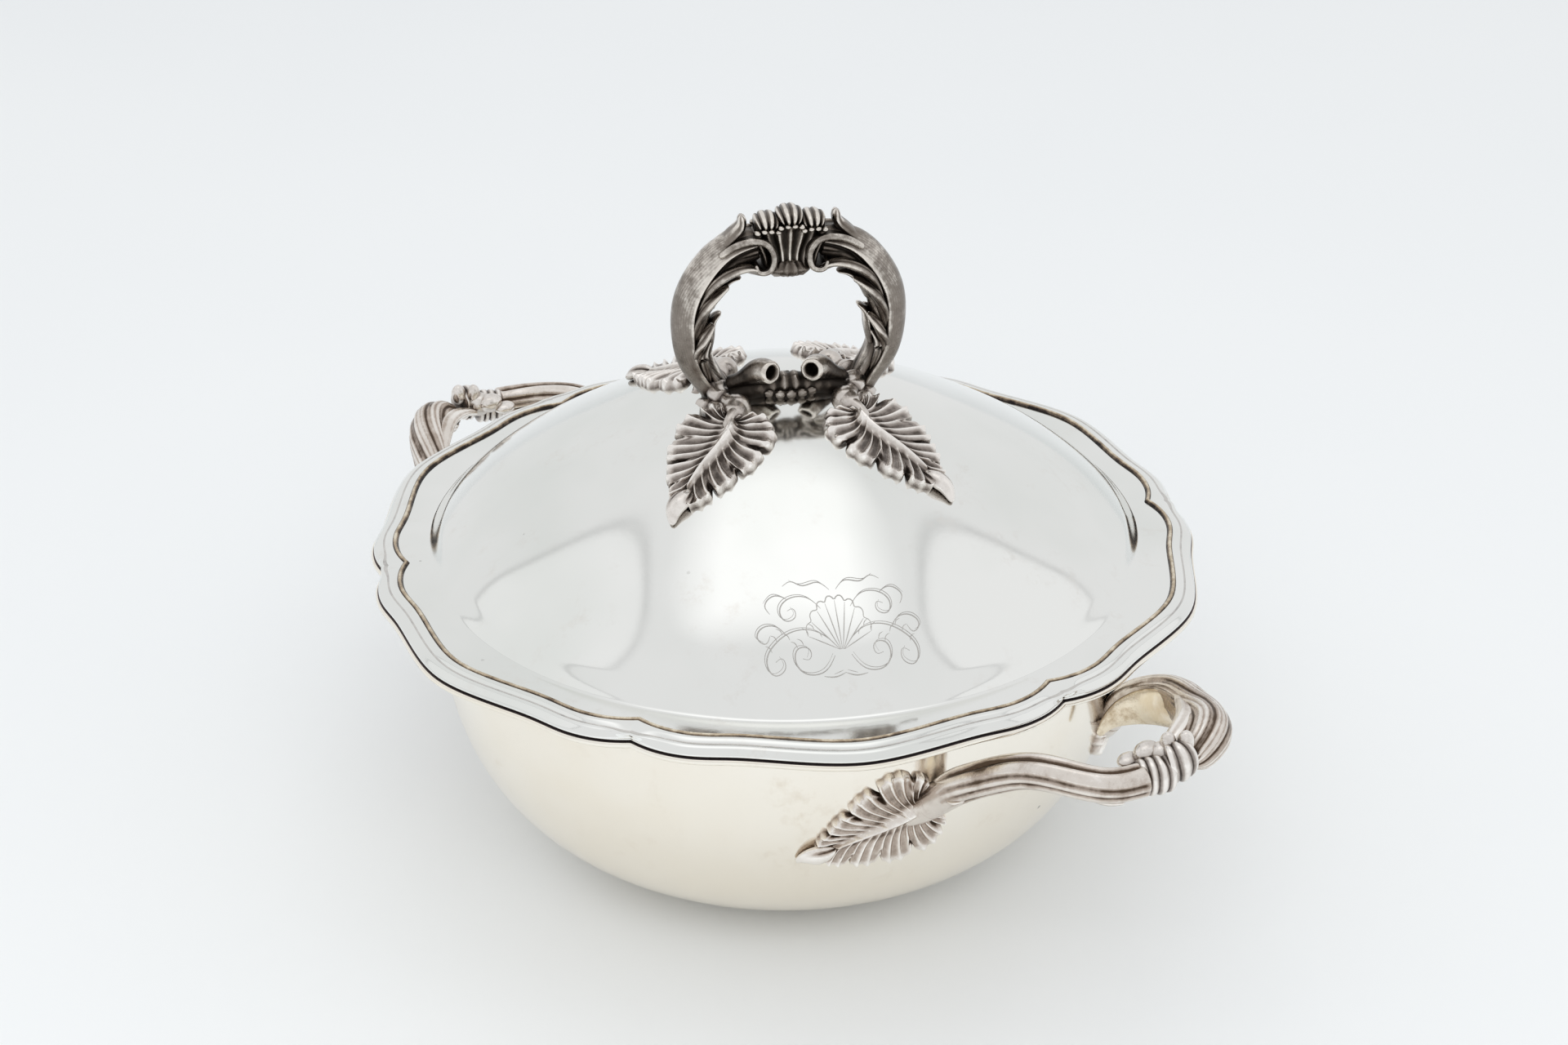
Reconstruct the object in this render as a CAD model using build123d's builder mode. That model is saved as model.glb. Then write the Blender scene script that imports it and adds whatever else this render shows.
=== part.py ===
"""A covered soup tureen in silver, modelled in millimetres.

The origin is the centre of the flat base, +Z is up and +X runs through one side handle.
The bowl, its rim moulding and two cast handles are one soldered body. The cover, its rim
moulding and its ring finial lift straight off it.
"""
from build123d import *
import math
import os

os.makedirs("parts", exist_ok=True)

# ---------------------------------------------------------------- driving dimensions
RIM_HEIGHT = 102.0          # table to the face that carries the cover
BOWL_RADIUS = 113.6
BOWL_POWER = 3.0            # the wall is a superellipse of this power
BOWL_DEPTH = 103.0          # depth of the full curve, cut off flat at the base
BOWL_WALL = 1.8

LOBES = 6
LOBE_ANGLE = 360.0 / LOBES
# Rim outline over half a lobe: degrees from the cusp, and radius.
HALF_LOBE = [
    (0.0, 130.2), (2.2, 132.0), (5.0, 133.4), (9.0, 133.7), (13.5, 132.6),
    (18.0, 132.9), (24.0, 134.8), (30.0, 136.2),
]
RIM_PLATE = 1.9             # thickness of the bowl's rim plate
RIM_PLATE_INSET = 0.5
COLLAR_HEIGHT = 3.6
COLLAR_THICKNESS = 1.3
SEAT_GAP = 0.3              # clearance between the cover and the bowl

COVER_SHEET = 1.3
FLANGE_HEIGHT = 3.4         # top of the cover's flat flange above the bowl's rim
FLANGE_RADIUS = 120.0       # where the dome runs out into the flange
# Dome profile: radius, and height above the bowl's rim.
DOME_PROFILE = [(0.0, 59.0), (32.5, 53.5), (62.4, 39.4), (83.0, 28.9), (101.0, 17.0), (113.0, 6.6)]
DOME_SAMPLES = 12
MOULDING_WIDTH = 9.2
MOULDING_HEIGHT = 4.5
BEAD_WIDTH = 1.6            # the raised bead along the moulding's inner edge
BEAD_STEP = 0.5
# The moulding from its bead out to its foot, as three arcs: inset and height of each arc's
# middle and end.
MOULDING_ARCS = [((6.0, 3.75), (4.4, 2.8)), ((2.0, 2.35), (0.3, 1.2)), ((0.0, 0.6), (0.3, 0.0))]
REBATE_INSET = 6.0          # the cover's sheet ends this far inside the outline
SOLDER_GAP = 0.5

BEZEL_RADIUS = 111.0        # fits the bowl's mouth
BEZEL_THICKNESS = 1.4
BEZEL_DROP = 8.0
BEZEL_LEG = 119.0

FINIAL_TURN = 60.0          # the cover sits one lobe round from the handles
FINIAL_OFFSET = 1.5         # the ring stands a little off centre along its own line
CASTING_GAP = 0.04          # thickness of solder under a casting
LEAF_THICKNESS = 2.4
MIDRIB_THICKNESS = 3.8

STUD_RADIUS = 2.0
STUD_PLACE = 24.0           # from the ring's middle, along the ring
STUD_TOP = 61.0             # height of each stud's upper end above the rim, inside its arm
STUD_TAIL = 2.0             # how far each stud comes through its nut
STUD_CHAMFER = 0.5
WASHER_RADIUS = 5.5
WASHER_FACE = 51.8          # height of the washers' flat undersides above the rim
NUT_ACROSS_FLATS = 8.0
NUT_THICKNESS = 4.0
THREAD_GAP = 0.05

CUT = 100.0                 # longer than anything it is used to cut

HANDLE_SIDES = {"right": 0.0, "left": 180.0}


def finish(piece, name):
    """Label one finished piece and write it as its own STEP file."""
    piece.label = name
    export_step(piece, f"parts/{name}.step")


# ---------------------------------------------------------------- shared outlines
def bowl_curve(inset=0.0, samples=11):
    """Points down the bowl's wall from the rim to the edge of its flat base."""
    radius = BOWL_RADIUS - inset
    depth = BOWL_DEPTH - inset
    lowest = (RIM_HEIGHT - inset) / depth
    points = []
    for number in range(samples):
        share = math.sin(number / (samples - 1) * math.pi / 2)
        drop = lowest * share
        reach = radius * (1 - drop ** BOWL_POWER) ** (1 / BOWL_POWER)
        points.append((reach, RIM_HEIGHT - drop * depth))
    return points


def bowl_blank(inset):
    """The solid inside the bowl's wall, moved in by inset (or out, when negative)."""
    points = bowl_curve(inset)
    with BuildPart(mode=Mode.PRIVATE) as blank:
        with BuildSketch(Plane.XZ):
            with BuildLine():
                Spline(*points)
                Line(points[-1], (0, points[-1][1]))
                Line((0, points[-1][1]), (0, RIM_HEIGHT))
                Line((0, RIM_HEIGHT), points[0])
            make_face()
        revolve(axis=Axis.Z)
    return blank.part


def dome_blank(drop):
    """The solid under the dome, with its surface moved in square to itself by drop."""
    with BuildLine(Plane.XZ, mode=Mode.PRIVATE) as crown:
        Spline(
            *[(radius, RIM_HEIGHT + height) for radius, height in DOME_PROFILE],
            (FLANGE_RADIUS, RIM_HEIGHT + FLANGE_HEIGHT),
            tangents=((1, 0), (1, 0)),
        )
    points = []
    for number in range(DOME_SAMPLES + 1):
        place = crown.line @ (number / DOME_SAMPLES)
        slope = crown.line % (number / DOME_SAMPLES)
        points.append((place.X + slope.Z * drop, place.Z - slope.X * drop))
    floor = RIM_HEIGHT - BEZEL_DROP
    with BuildPart(mode=Mode.PRIVATE) as blank:
        with BuildSketch(Plane.XZ):
            with BuildLine():
                Spline(*points, tangents=((1, 0), (1, 0)))
                edge = (BOWL_RADIUS + CUT, points[-1][1])
                Line(points[-1], edge)
                Line(edge, (edge[0], floor))
                Line((edge[0], floor), (0, floor))
                Line((0, floor), points[0])
            make_face()
        revolve(axis=Axis.Z)
    return blank.part


def rim_radius_list():
    """Angle and radius of the rim over one whole lobe, from cusp to cusp."""
    mirrored = [(LOBE_ANGLE - angle, radius) for angle, radius in reversed(HALF_LOBE[:-1])]
    return HALF_LOBE + mirrored


def lobed_face(height, inset):
    """The six-lobed outline of the rim as a face, moved in radially by inset."""
    with BuildSketch(Plane.XY.offset(height), mode=Mode.PRIVATE) as outline:
        with BuildLine():
            for lobe in range(LOBES):
                points = []
                for angle, radius in rim_radius_list():
                    turn = math.radians(lobe * LOBE_ANGLE + angle)
                    reach = radius - inset
                    points.append((reach * math.cos(turn), reach * math.sin(turn)))
                Spline(*points)
        make_face()
    return outline.sketch


def section_plane(spine, place, side=None):
    """The plane square to a spine, with its X axis level, or along side."""
    along = spine @ place
    tangent = spine % place
    level = Vector(*side) if side else Vector(0, 0, 1).cross(tangent)
    return Plane(origin=along, x_dir=level.normalized(), z_dir=tangent)


def tapered_rod(points, radii, first=0, last=None, side=None):
    """A cast rod of changing thickness along a smooth line, from one station to another."""
    with BuildLine(mode=Mode.PRIVATE) as spine:
        Spline(*points)
    steps = len(radii) - 1
    last = steps if last is None else last
    with BuildPart(mode=Mode.PRIVATE) as rod:
        for number in range(first, last + 1):
            with BuildSketch(section_plane(spine.line, number / steps, side)):
                Circle(radii[number])
        loft()
    return rod.part


# Leaf outline, one side: distance from the root along the midrib, and half width.
LEAF_NOTCHES = [(0.0, 3.0), (-1.0, 10.0), (6.5, 15.5), (15.0, 15.3), (23.0, 11.5), (30.5, 6.0)]
LEAF_LENGTH = 41.5
LEAF_BULGE = 1.6
LEAF_TIP = 0.8
LEAF_FOOT = 1.0             # how far the outline runs back behind its root
MIDRIB_LENGTH = 37.5
MIDRIB_WIDTH = 3.2


def leaf_outline():
    """A heart-shaped leaf with lobed edges, its root at the origin, pointing along X."""
    sides = [LEAF_NOTCHES + [(LEAF_LENGTH, LEAF_TIP)]]
    sides.append([(along, -across) for along, across in sides[0]])
    with BuildSketch(mode=Mode.PRIVATE) as leaf:
        with BuildLine():
            for side in sides:
                for start, end in zip(side, side[1:]):
                    chord = Vector(*end) - Vector(*start)
                    outward = Vector(-chord.Y, chord.X).normalized()
                    if side is sides[1]:
                        outward = -outward
                    middle = (Vector(*start) + Vector(*end)) / 2 + outward * LEAF_BULGE
                    ThreePointArc(start, middle, end)
                Line(side[0], (side[0][0] - LEAF_FOOT, 0))
                Line(side[-1], (LEAF_LENGTH + LEAF_TIP, 0))
        make_face()
    return leaf.sketch


def cast_leaf(place, reach, skin, thick_skin, core):
    """A leaf laid on a curved wall: its outline is cut from a skin over that wall.

    The outline is drawn on the plane place and reaches as far as reach to both sides of it.
    """
    with BuildPart(mode=Mode.PRIVATE) as leaf:
        with BuildSketch(place):
            add(leaf_outline())
        extrude(amount=reach, both=True)
        add(skin, mode=Mode.INTERSECT)
    with BuildPart(mode=Mode.PRIVATE) as rib:
        with BuildSketch(place):
            with Locations((MIDRIB_LENGTH / 2, 0)):
                Ellipse(MIDRIB_LENGTH / 2, MIDRIB_WIDTH / 2)
        extrude(amount=reach, both=True)
        add(thick_skin, mode=Mode.INTERSECT)
    with BuildPart(mode=Mode.PRIVATE) as whole:
        add(leaf.part)
        add(rib.part)
        add(core, mode=Mode.SUBTRACT)
    return whole.part


# ---------------------------------------------------------------- bowl
bowl_solid = bowl_blank(0.0)

with BuildPart() as bowl:
    add(bowl_solid)
    add(bowl_blank(BOWL_WALL), mode=Mode.SUBTRACT)
finish(bowl.part, "bowl")

# Rim moulding of the bowl: a lobed plate round the mouth and a collar below it.
with BuildPart() as bowl_rim:
    extrude(lobed_face(RIM_HEIGHT - RIM_PLATE, RIM_PLATE_INSET), amount=RIM_PLATE)
    with BuildSketch(Plane.XY.offset(RIM_HEIGHT - COLLAR_HEIGHT)):
        Circle(BOWL_RADIUS + COLLAR_THICKNESS)
    extrude(amount=COLLAR_HEIGHT)
    add(bowl_solid, mode=Mode.SUBTRACT)
finish(bowl_rim.part, "bowl_rim")

# ---------------------------------------------------------------- cover
def turned(distance, angle):
    """A point at a distance from the axis, at an angle in degrees."""
    return (distance * math.cos(math.radians(angle)), distance * math.sin(math.radians(angle)))


stud_centres = {
    "right": turned(FINIAL_OFFSET + STUD_PLACE, FINIAL_TURN),
    "left": turned(FINIAL_OFFSET - STUD_PLACE, FINIAL_TURN),
}
dome_outside = dome_blank(0.0)
dome_inside = dome_blank(COVER_SHEET)
sheet_edge = lobed_face(RIM_HEIGHT - BEZEL_DROP, REBATE_INSET + SOLDER_GAP)

with BuildPart() as cover_dome:
    add(dome_outside)
    add(dome_inside, mode=Mode.SUBTRACT)
    extrude(sheet_edge, amount=CUT, mode=Mode.INTERSECT)
    with BuildSketch(Plane.XY.offset(RIM_HEIGHT)):
        with Locations(*stud_centres.values()):
            Circle(STUD_RADIUS + THREAD_GAP)
    extrude(amount=CUT, mode=Mode.SUBTRACT)
finish(cover_dome.part, "cover_dome")


def moulding_section(angle, radius):
    """The cover moulding's section, standing on the radial plane at one angle."""
    turn = math.radians(angle)
    outward = (math.cos(turn), math.sin(turn), 0)
    plane = Plane(
        origin=(radius * outward[0], radius * outward[1], RIM_HEIGHT + SEAT_GAP),
        x_dir=(-outward[0], -outward[1], 0),
        z_dir=(-outward[1], outward[0], 0),
    )
    ledge = FLANGE_HEIGHT - SEAT_GAP
    bead_top = (MOULDING_WIDTH - BEAD_WIDTH / 2, MOULDING_HEIGHT - SEAT_GAP)
    bead_end = (MOULDING_WIDTH - BEAD_WIDTH, ledge + BEAD_STEP)
    foot = MOULDING_ARCS[-1][1]
    with BuildSketch(plane, mode=Mode.PRIVATE) as section:
        with BuildLine():
            Line(foot, (REBATE_INSET, 0))
            Line((REBATE_INSET, 0), (REBATE_INSET, ledge))
            Line((REBATE_INSET, ledge), (MOULDING_WIDTH, ledge))
            ThreePointArc((MOULDING_WIDTH, ledge), bead_top, bead_end)
            start = bead_end
            for middle, end in MOULDING_ARCS:
                ThreePointArc(start, middle, end)
                start = end
        make_face()
    return section.sketch


# Each lobe's moulding is lofted from cusp to cusp, so that the mitres fall on the cusps.
moulding_sections = [moulding_section(angle, radius) for angle, radius in rim_radius_list()]
with BuildPart(mode=Mode.PRIVATE) as lobe_moulding:
    loft(sections=moulding_sections)

with BuildPart() as cover_rim:
    with PolarLocations(0, LOBES):
        add(lobe_moulding.part)
finish(cover_rim.part, "cover_rim")

# Bezel: an angle-section ring under the flange that centres the cover in the mouth.
with BuildPart() as cover_bezel:
    with BuildSketch(Plane.XZ):
        with BuildLine():
            seat = RIM_HEIGHT + SEAT_GAP
            under = RIM_HEIGHT + FLANGE_HEIGHT - COVER_SHEET
            inner = BEZEL_RADIUS - BEZEL_THICKNESS
            Polyline(
                (inner, RIM_HEIGHT - BEZEL_DROP),
                (BEZEL_RADIUS, RIM_HEIGHT - BEZEL_DROP),
                (BEZEL_RADIUS, seat),
                (BEZEL_LEG, seat),
                (BEZEL_LEG, under),
                (inner, under),
                close=True,
            )
        make_face()
    revolve(axis=Axis.Z)
    add(dome_inside, mode=Mode.INTERSECT)
finish(cover_bezel.part, "cover_bezel")

# ---------------------------------------------------------------- ring finial
dome_seat = dome_blank(-CASTING_GAP)
finial_turn = Location((0, 0, 0), (0, 0, FINIAL_TURN))
ring_place = Location((*turned(FINIAL_OFFSET, FINIAL_TURN), 0), (0, 0, FINIAL_TURN))
# Centre line of one arm: distance from the axis, and height above the rim.
ARM_LINE = [(21, 50), (24, 58), (28.9, 66), (31.2, 77), (30.0, 88), (25, 97), (17.5, 103.5), (9.5, 105.5)]
ARM_RADII = [4.6, 5.0, 5.6, 6.0, 6.3, 6.5, 6.3, 4.6]

arm_spine = [(reach, 0, RIM_HEIGHT + height) for reach, height in ARM_LINE]
arm_form = tapered_rod(arm_spine, ARM_RADII, side=(0, 1, 0))


# The shell at the top of the ring, right half: distance from its middle, and height above the rim.
SHELL_BASE = 95.0
SHELL_POINTS = {
    "neck": (6.5, 98.0),
    "waist": (7.5, 103.0),
    "shoulder": (10.8, 110.5),
    "side lobe": (9.2, 114.2),
    "cleft": (4.4, 113.4),
}
SHELL_CREST = 116.6
# The same shell seen from its side.
SHELL_HALF_DEPTH = 7.2
SHELL_HALF_FOOT = 4.4
SHELL_ROLL = 111.0          # height where the rolled top begins
SHELL_ROLL_TOP = 117.2


def shell_outline():
    """The shell's front view: a rounded foot, flared sides and three lobes."""
    halves = []
    for side in (1, -1):
        halves.append([(side * across, RIM_HEIGHT + height) for across, height in SHELL_POINTS.values()])
    (neck, waist, shoulder, lobe, cleft), (neck_2, waist_2, shoulder_2, lobe_2, cleft_2) = halves
    with BuildSketch(Plane.XZ, mode=Mode.PRIVATE) as outline:
        with BuildLine():
            ThreePointArc(neck_2, (0, RIM_HEIGHT + SHELL_BASE), neck)
            Spline(neck, waist, shoulder)
            ThreePointArc(shoulder, lobe, cleft)
            ThreePointArc(cleft, (0, RIM_HEIGHT + SHELL_CREST), cleft_2)
            ThreePointArc(cleft_2, lobe_2, shoulder_2)
            Spline(shoulder_2, waist_2, neck_2)
        make_face()
    return outline.sketch


def shell_side():
    """The shell's side view: narrow at the foot and rolled over at the top."""
    base = RIM_HEIGHT + SHELL_BASE
    roll = RIM_HEIGHT + SHELL_ROLL
    with BuildSketch(Plane.YZ, mode=Mode.PRIVATE) as outline:
        with BuildLine():
            Line((-SHELL_HALF_FOOT, base), (SHELL_HALF_FOOT, base))
            Line((SHELL_HALF_FOOT, base), (SHELL_HALF_DEPTH, roll))
            ThreePointArc(
                (SHELL_HALF_DEPTH, roll), (0, RIM_HEIGHT + SHELL_ROLL_TOP), (-SHELL_HALF_DEPTH, roll)
            )
            Line((-SHELL_HALF_DEPTH, roll), (-SHELL_HALF_FOOT, base))
        make_face()
    return outline.sketch


with BuildPart(mode=Mode.PRIVATE) as shell_form:
    extrude(shell_outline(), amount=SHELL_HALF_DEPTH * 2, both=True)
    extrude(shell_side(), amount=CUT, both=True, mode=Mode.INTERSECT)

with BuildPart() as finial_shell:
    add(shell_form.part.moved(ring_place))
finish(finial_shell.part, "finial_shell")

stud_top = RIM_HEIGHT + STUD_TOP
for side_name, side_turn in {"right": 0.0, "left": 180.0}.items():
    with BuildPart() as finial_arm:
        add(arm_form.moved(ring_place * Location((0, 0, 0), (0, 0, side_turn))))
        add(dome_seat, mode=Mode.SUBTRACT)
        add(finial_shell.part, mode=Mode.SUBTRACT)
        with BuildSketch(Plane.XY.offset(RIM_HEIGHT)):
            with Locations(stud_centres[side_name]):
                Circle(STUD_RADIUS + THREAD_GAP)
        extrude(amount=stud_top - RIM_HEIGHT, mode=Mode.SUBTRACT)
    finish(finial_arm.part, f"finial_arm_{side_name}")

# Each corner of the finial has a leaf on a stem. The two front corners also have a short hollow
# tendril that points inwards, and a small scalloped fan lies between them.
STEM_LINE = [(22, 2, 58), (20.5, 8, 57), (17.5, 13.5, 57), (19.5, 19.5, 55)]
STEM_RADII = [4.2, 3.6, 3.9, 3.0]
TENDRIL_LINE = [(17, 3.5, 60), (13.5, 7, 63.5), (9, 9.5, 66.5), (6.8, 12.5, 67.3)]
TENDRIL_RADII = [3.4, 3.0, 3.3, 3.8]
TENDRIL_BORE = 2.2
TENDRIL_BORE_DEPTH = 4.5
COVER_LEAF_ROOT = (17.5, 17.5)
COVER_LEAF_ANGLE = 53.0
CORNERS = {"right_back": (1, 1), "left_back": (-1, 1), "left_front": (-1, -1), "right_front": (1, -1)}

dome_leaf_skin = dome_blank(-LEAF_THICKNESS)
dome_rib_skin = dome_blank(-MIDRIB_THICKNESS)


def corner_form(form, signs):
    """Mirror a form made for the right back corner into another corner."""
    if signs[0] < 0:
        form = mirror(form, about=Plane.YZ, mode=Mode.PRIVATE)
    if signs[1] < 0:
        form = mirror(form, about=Plane.XZ, mode=Mode.PRIVATE)
    return form


lift = Location((0, 0, RIM_HEIGHT))
stem_form = tapered_rod(STEM_LINE, STEM_RADII).moved(lift)
tendril_form = tapered_rod(TENDRIL_LINE, TENDRIL_RADII).moved(lift)
leaf_place = Plane(
    origin=(COVER_LEAF_ROOT[0], COVER_LEAF_ROOT[1], RIM_HEIGHT + DOME_PROFILE[0][1]),
    x_dir=(math.cos(math.radians(COVER_LEAF_ANGLE)), math.sin(math.radians(COVER_LEAF_ANGLE)), 0),
    z_dir=(0, 0, 1),
)
leaf_form = cast_leaf(leaf_place, LEAF_LENGTH, dome_leaf_skin, dome_rib_skin, dome_seat)

with BuildLine(mode=Mode.PRIVATE) as tendril_spine:
    Spline(*TENDRIL_LINE)
tendril_mouth = section_plane(tendril_spine.line, 1.0)
tendril_mouth.origin = tendril_mouth.origin + Vector(0, 0, RIM_HEIGHT)

for corner_name, signs in CORNERS.items():
    arm_here = arm_form.moved(Location((FINIAL_OFFSET * signs[0], 0, 0)))
    with BuildPart(mode=Mode.PRIVATE) as stem:
        add(stem_form)
        add(dome_seat, mode=Mode.SUBTRACT)
        add(arm_here, mode=Mode.SUBTRACT)
        add(leaf_form, mode=Mode.SUBTRACT)
    with BuildPart() as cover_leaf:
        add(leaf_form)
        add(stem.part)
    placed = corner_form(cover_leaf.part, signs).moved(finial_turn)
    finish(placed, f"cover_leaf_{corner_name}")

    if not corner_name.endswith("front"):
        continue
    with BuildPart() as tendril:
        add(tendril_form)
        with BuildSketch(tendril_mouth):
            Circle(TENDRIL_BORE)
        extrude(amount=-TENDRIL_BORE_DEPTH, mode=Mode.SUBTRACT)
        add(dome_seat, mode=Mode.SUBTRACT)
        add(arm_here, mode=Mode.SUBTRACT)
        add(stem_form, mode=Mode.SUBTRACT)
    placed = corner_form(tendril.part, signs).moved(finial_turn)
    finish(placed, f"finial_tendril_{corner_name.split('_')[0]}")

FAN_RIBS = 5
FAN_REACH = 13.5
FAN_SCALLOP = 1.2           # how far each rib's rounded end comes out
FAN_SPREAD = 72.0
FAN_ROOT = (3.0, 0.6)

with BuildPart(mode=Mode.PRIVATE) as fan_form:
    with BuildSketch(Plane.XY.offset(RIM_HEIGHT)):
        with BuildLine():
            rib_step = FAN_SPREAD / FAN_RIBS
            for number in range(FAN_RIBS):
                start_turn = math.radians(90 - FAN_SPREAD / 2 + number * rib_step)
                middle_turn = start_turn + math.radians(rib_step / 2)
                end_turn = start_turn + math.radians(rib_step)
                tip = FAN_REACH + FAN_SCALLOP
                ThreePointArc(
                    (FAN_REACH * math.cos(start_turn), FAN_REACH * math.sin(start_turn)),
                    (tip * math.cos(middle_turn), tip * math.sin(middle_turn)),
                    (FAN_REACH * math.cos(end_turn), FAN_REACH * math.sin(end_turn)),
                )
            half = math.radians(FAN_SPREAD / 2)
            corner = (FAN_REACH * math.sin(half), FAN_REACH * math.cos(half))
            Line(corner, FAN_ROOT)
            Line(FAN_ROOT, (-FAN_ROOT[0], FAN_ROOT[1]))
            Line((-FAN_ROOT[0], FAN_ROOT[1]), (-corner[0], corner[1]))
        make_face()
    extrude(amount=CUT)
    add(dome_rib_skin, mode=Mode.INTERSECT)
    add(dome_seat, mode=Mode.SUBTRACT)
    for mirror_plane in (None, Plane.YZ):
        for blocker in (tendril_form, stem_form):
            body = mirror(blocker, about=mirror_plane, mode=Mode.PRIVATE) if mirror_plane else blocker
            add(body, mode=Mode.SUBTRACT)

with BuildPart() as finial_fan:
    add(corner_form(fan_form.part, (1, -1)).moved(finial_turn))
finish(finial_fan.part, "finial_fan")

# Two studs in the feet of the arms hold the finial, with a shaped washer and nut under the dome.
washer_face = RIM_HEIGHT + WASHER_FACE
stud_bottom = washer_face - NUT_THICKNESS - STUD_TAIL

for side_name, centre in stud_centres.items():
    with BuildPart() as finial_stud:
        with BuildSketch(Plane.XY.offset(stud_bottom)):
            with Locations(centre):
                Circle(STUD_RADIUS)
        extrude(amount=stud_top - stud_bottom)
        chamfer(finial_stud.faces().sort_by(Axis.Z)[0].edges(), STUD_CHAMFER)
    finish(finial_stud.part, f"finial_stud_{side_name}")

    with BuildPart() as finial_washer:
        with BuildSketch(Plane.XY.offset(washer_face)):
            with Locations(centre):
                Circle(WASHER_RADIUS)
                Circle(STUD_RADIUS + THREAD_GAP, mode=Mode.SUBTRACT)
        extrude(amount=CUT)
        add(dome_inside, mode=Mode.INTERSECT)
    finish(finial_washer.part, f"finial_washer_{side_name}")

    with BuildPart() as finial_nut:
        with BuildSketch(Plane.XY.offset(washer_face - NUT_THICKNESS)):
            with Locations(centre):
                RegularPolygon(NUT_ACROSS_FLATS / 2, 6, major_radius=False)
                Circle(STUD_RADIUS + THREAD_GAP, mode=Mode.SUBTRACT)
        extrude(amount=NUT_THICKNESS)
    finish(finial_nut.part, f"finial_nut_{side_name}")

# ---------------------------------------------------------------- side handles
# Each handle, seen from its own side: x outwards, y across, z above the rim.
SLENDER_LINE = [
    (98, -41.5, -40), (106.5, -34.5, -34), (117.7, -32, -22.5), (129, -28, -14.5), (139.6, -23.3, -9.5),
    (150.5, -17.4, -9.3), (159.5, -9, -10.6), (163, 1, -10.5),
]
SLENDER_RADII = [3.0, 4.4, 5.0, 5.3, 5.6, 5.6, 5.6, 5.5, 5.5, 5.4, 5.3, 5.2, 5.2]
ACANTHUS_LINE = [
    (92, 57, -49), (100, 50, -42), (108.7, 49.5, -29), (120.5, 48.9, -20.2), (132.8, 45.9, -15),
    (145, 40.4, -12.5), (155.1, 34.4, -9.5), (161.5, 26.5, -9), (162.5, 18.5, -13.5),
]
ACANTHUS_RADII = [3.0, 4.2, 4.6, 4.8, 5.2, 5.7, 6.3, 6.9, 7.3, 7.5, 7.6, 7.2, 4.8]
SEAM = 2                    # station where the leaf's stem is soldered to the arm
KNOT_LINE = [(162.9, 0.5, -10.5), (162.5, 7, -9), (160, 14, -6)]
KNOT_RADII = [5.4, 6.9, 5.9, 7.3, 6.2, 6.8, 4.6]
# Leaves on the wall: side, degrees round the bowl from the handle's axis, height of the root
# above the rim, and degrees that the leaf points down.
FRONT_LEAF = (-1, 17.5, -32.0, 24.0)
REAR_LEAF = (1, 27.0, -37.0, 20.0)

slender_form = tapered_rod(SLENDER_LINE, SLENDER_RADII, first=SEAM).moved(lift)
slender_stem = tapered_rod(SLENDER_LINE, SLENDER_RADII, last=SEAM).moved(lift)
acanthus_form = tapered_rod(ACANTHUS_LINE, ACANTHUS_RADII, first=SEAM).moved(lift)
acanthus_stem = tapered_rod(ACANTHUS_LINE, ACANTHUS_RADII, last=SEAM).moved(lift)
knot_form = tapered_rod(KNOT_LINE, KNOT_RADII).moved(lift)

bowl_seat = bowl_blank(-CASTING_GAP)
bowl_leaf_skin = bowl_blank(-LEAF_THICKNESS)
bowl_rib_skin = bowl_blank(-MIDRIB_THICKNESS)


def wall_leaf(side, root_angle, root_height, dip_angle):
    """A leaf on the bowl's wall beside a handle; side is -1 or 1."""
    turn = math.radians(root_angle * side)
    outward = Vector(math.cos(turn), math.sin(turn), 0)
    away = Vector(-math.sin(turn), math.cos(turn), 0) * side
    dip = math.radians(dip_angle)
    direction = away * math.cos(dip) - Vector(0, 0, 1) * math.sin(dip)
    root = outward * BOWL_RADIUS + Vector(0, 0, RIM_HEIGHT + root_height)
    place = Plane(origin=root, x_dir=direction, z_dir=outward)
    return cast_leaf(place, LEAF_LENGTH, bowl_leaf_skin, bowl_rib_skin, bowl_seat)


for side_name, side_turn in HANDLE_SIDES.items():
    turn = Location((0, 0, 0), (0, 0, side_turn))
    prefix = f"handle_{side_name}"

    with BuildPart() as slender_arm:
        add(slender_form)
        add(bowl_seat, mode=Mode.SUBTRACT)
        add(knot_form, mode=Mode.SUBTRACT)
    finish(slender_arm.part.moved(turn), f"{prefix}_slender_arm")

    with BuildPart() as acanthus_arm:
        add(acanthus_form)
        add(bowl_seat, mode=Mode.SUBTRACT)
        add(knot_form, mode=Mode.SUBTRACT)
    finish(acanthus_arm.part.moved(turn), f"{prefix}_acanthus_arm")

    with BuildPart() as knot:
        add(knot_form)
    finish(knot.part.moved(turn), f"{prefix}_knot")

    halves = {
        "front": (FRONT_LEAF, slender_form, slender_stem),
        "rear": (REAR_LEAF, acanthus_form, acanthus_stem),
    }
    for leaf_name, (leaf_values, arm_here, stem_here) in halves.items():
        with BuildPart() as handle_leaf:
            add(wall_leaf(*leaf_values))
            add(arm_here, mode=Mode.SUBTRACT)
            add(stem_here)
            add(bowl_seat, mode=Mode.SUBTRACT)
        finish(handle_leaf.part.moved(turn), f"{prefix}_leaf_{leaf_name}")
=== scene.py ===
"""A covered silver soup tureen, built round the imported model. Lengths here are in millimetres."""
import math

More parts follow.
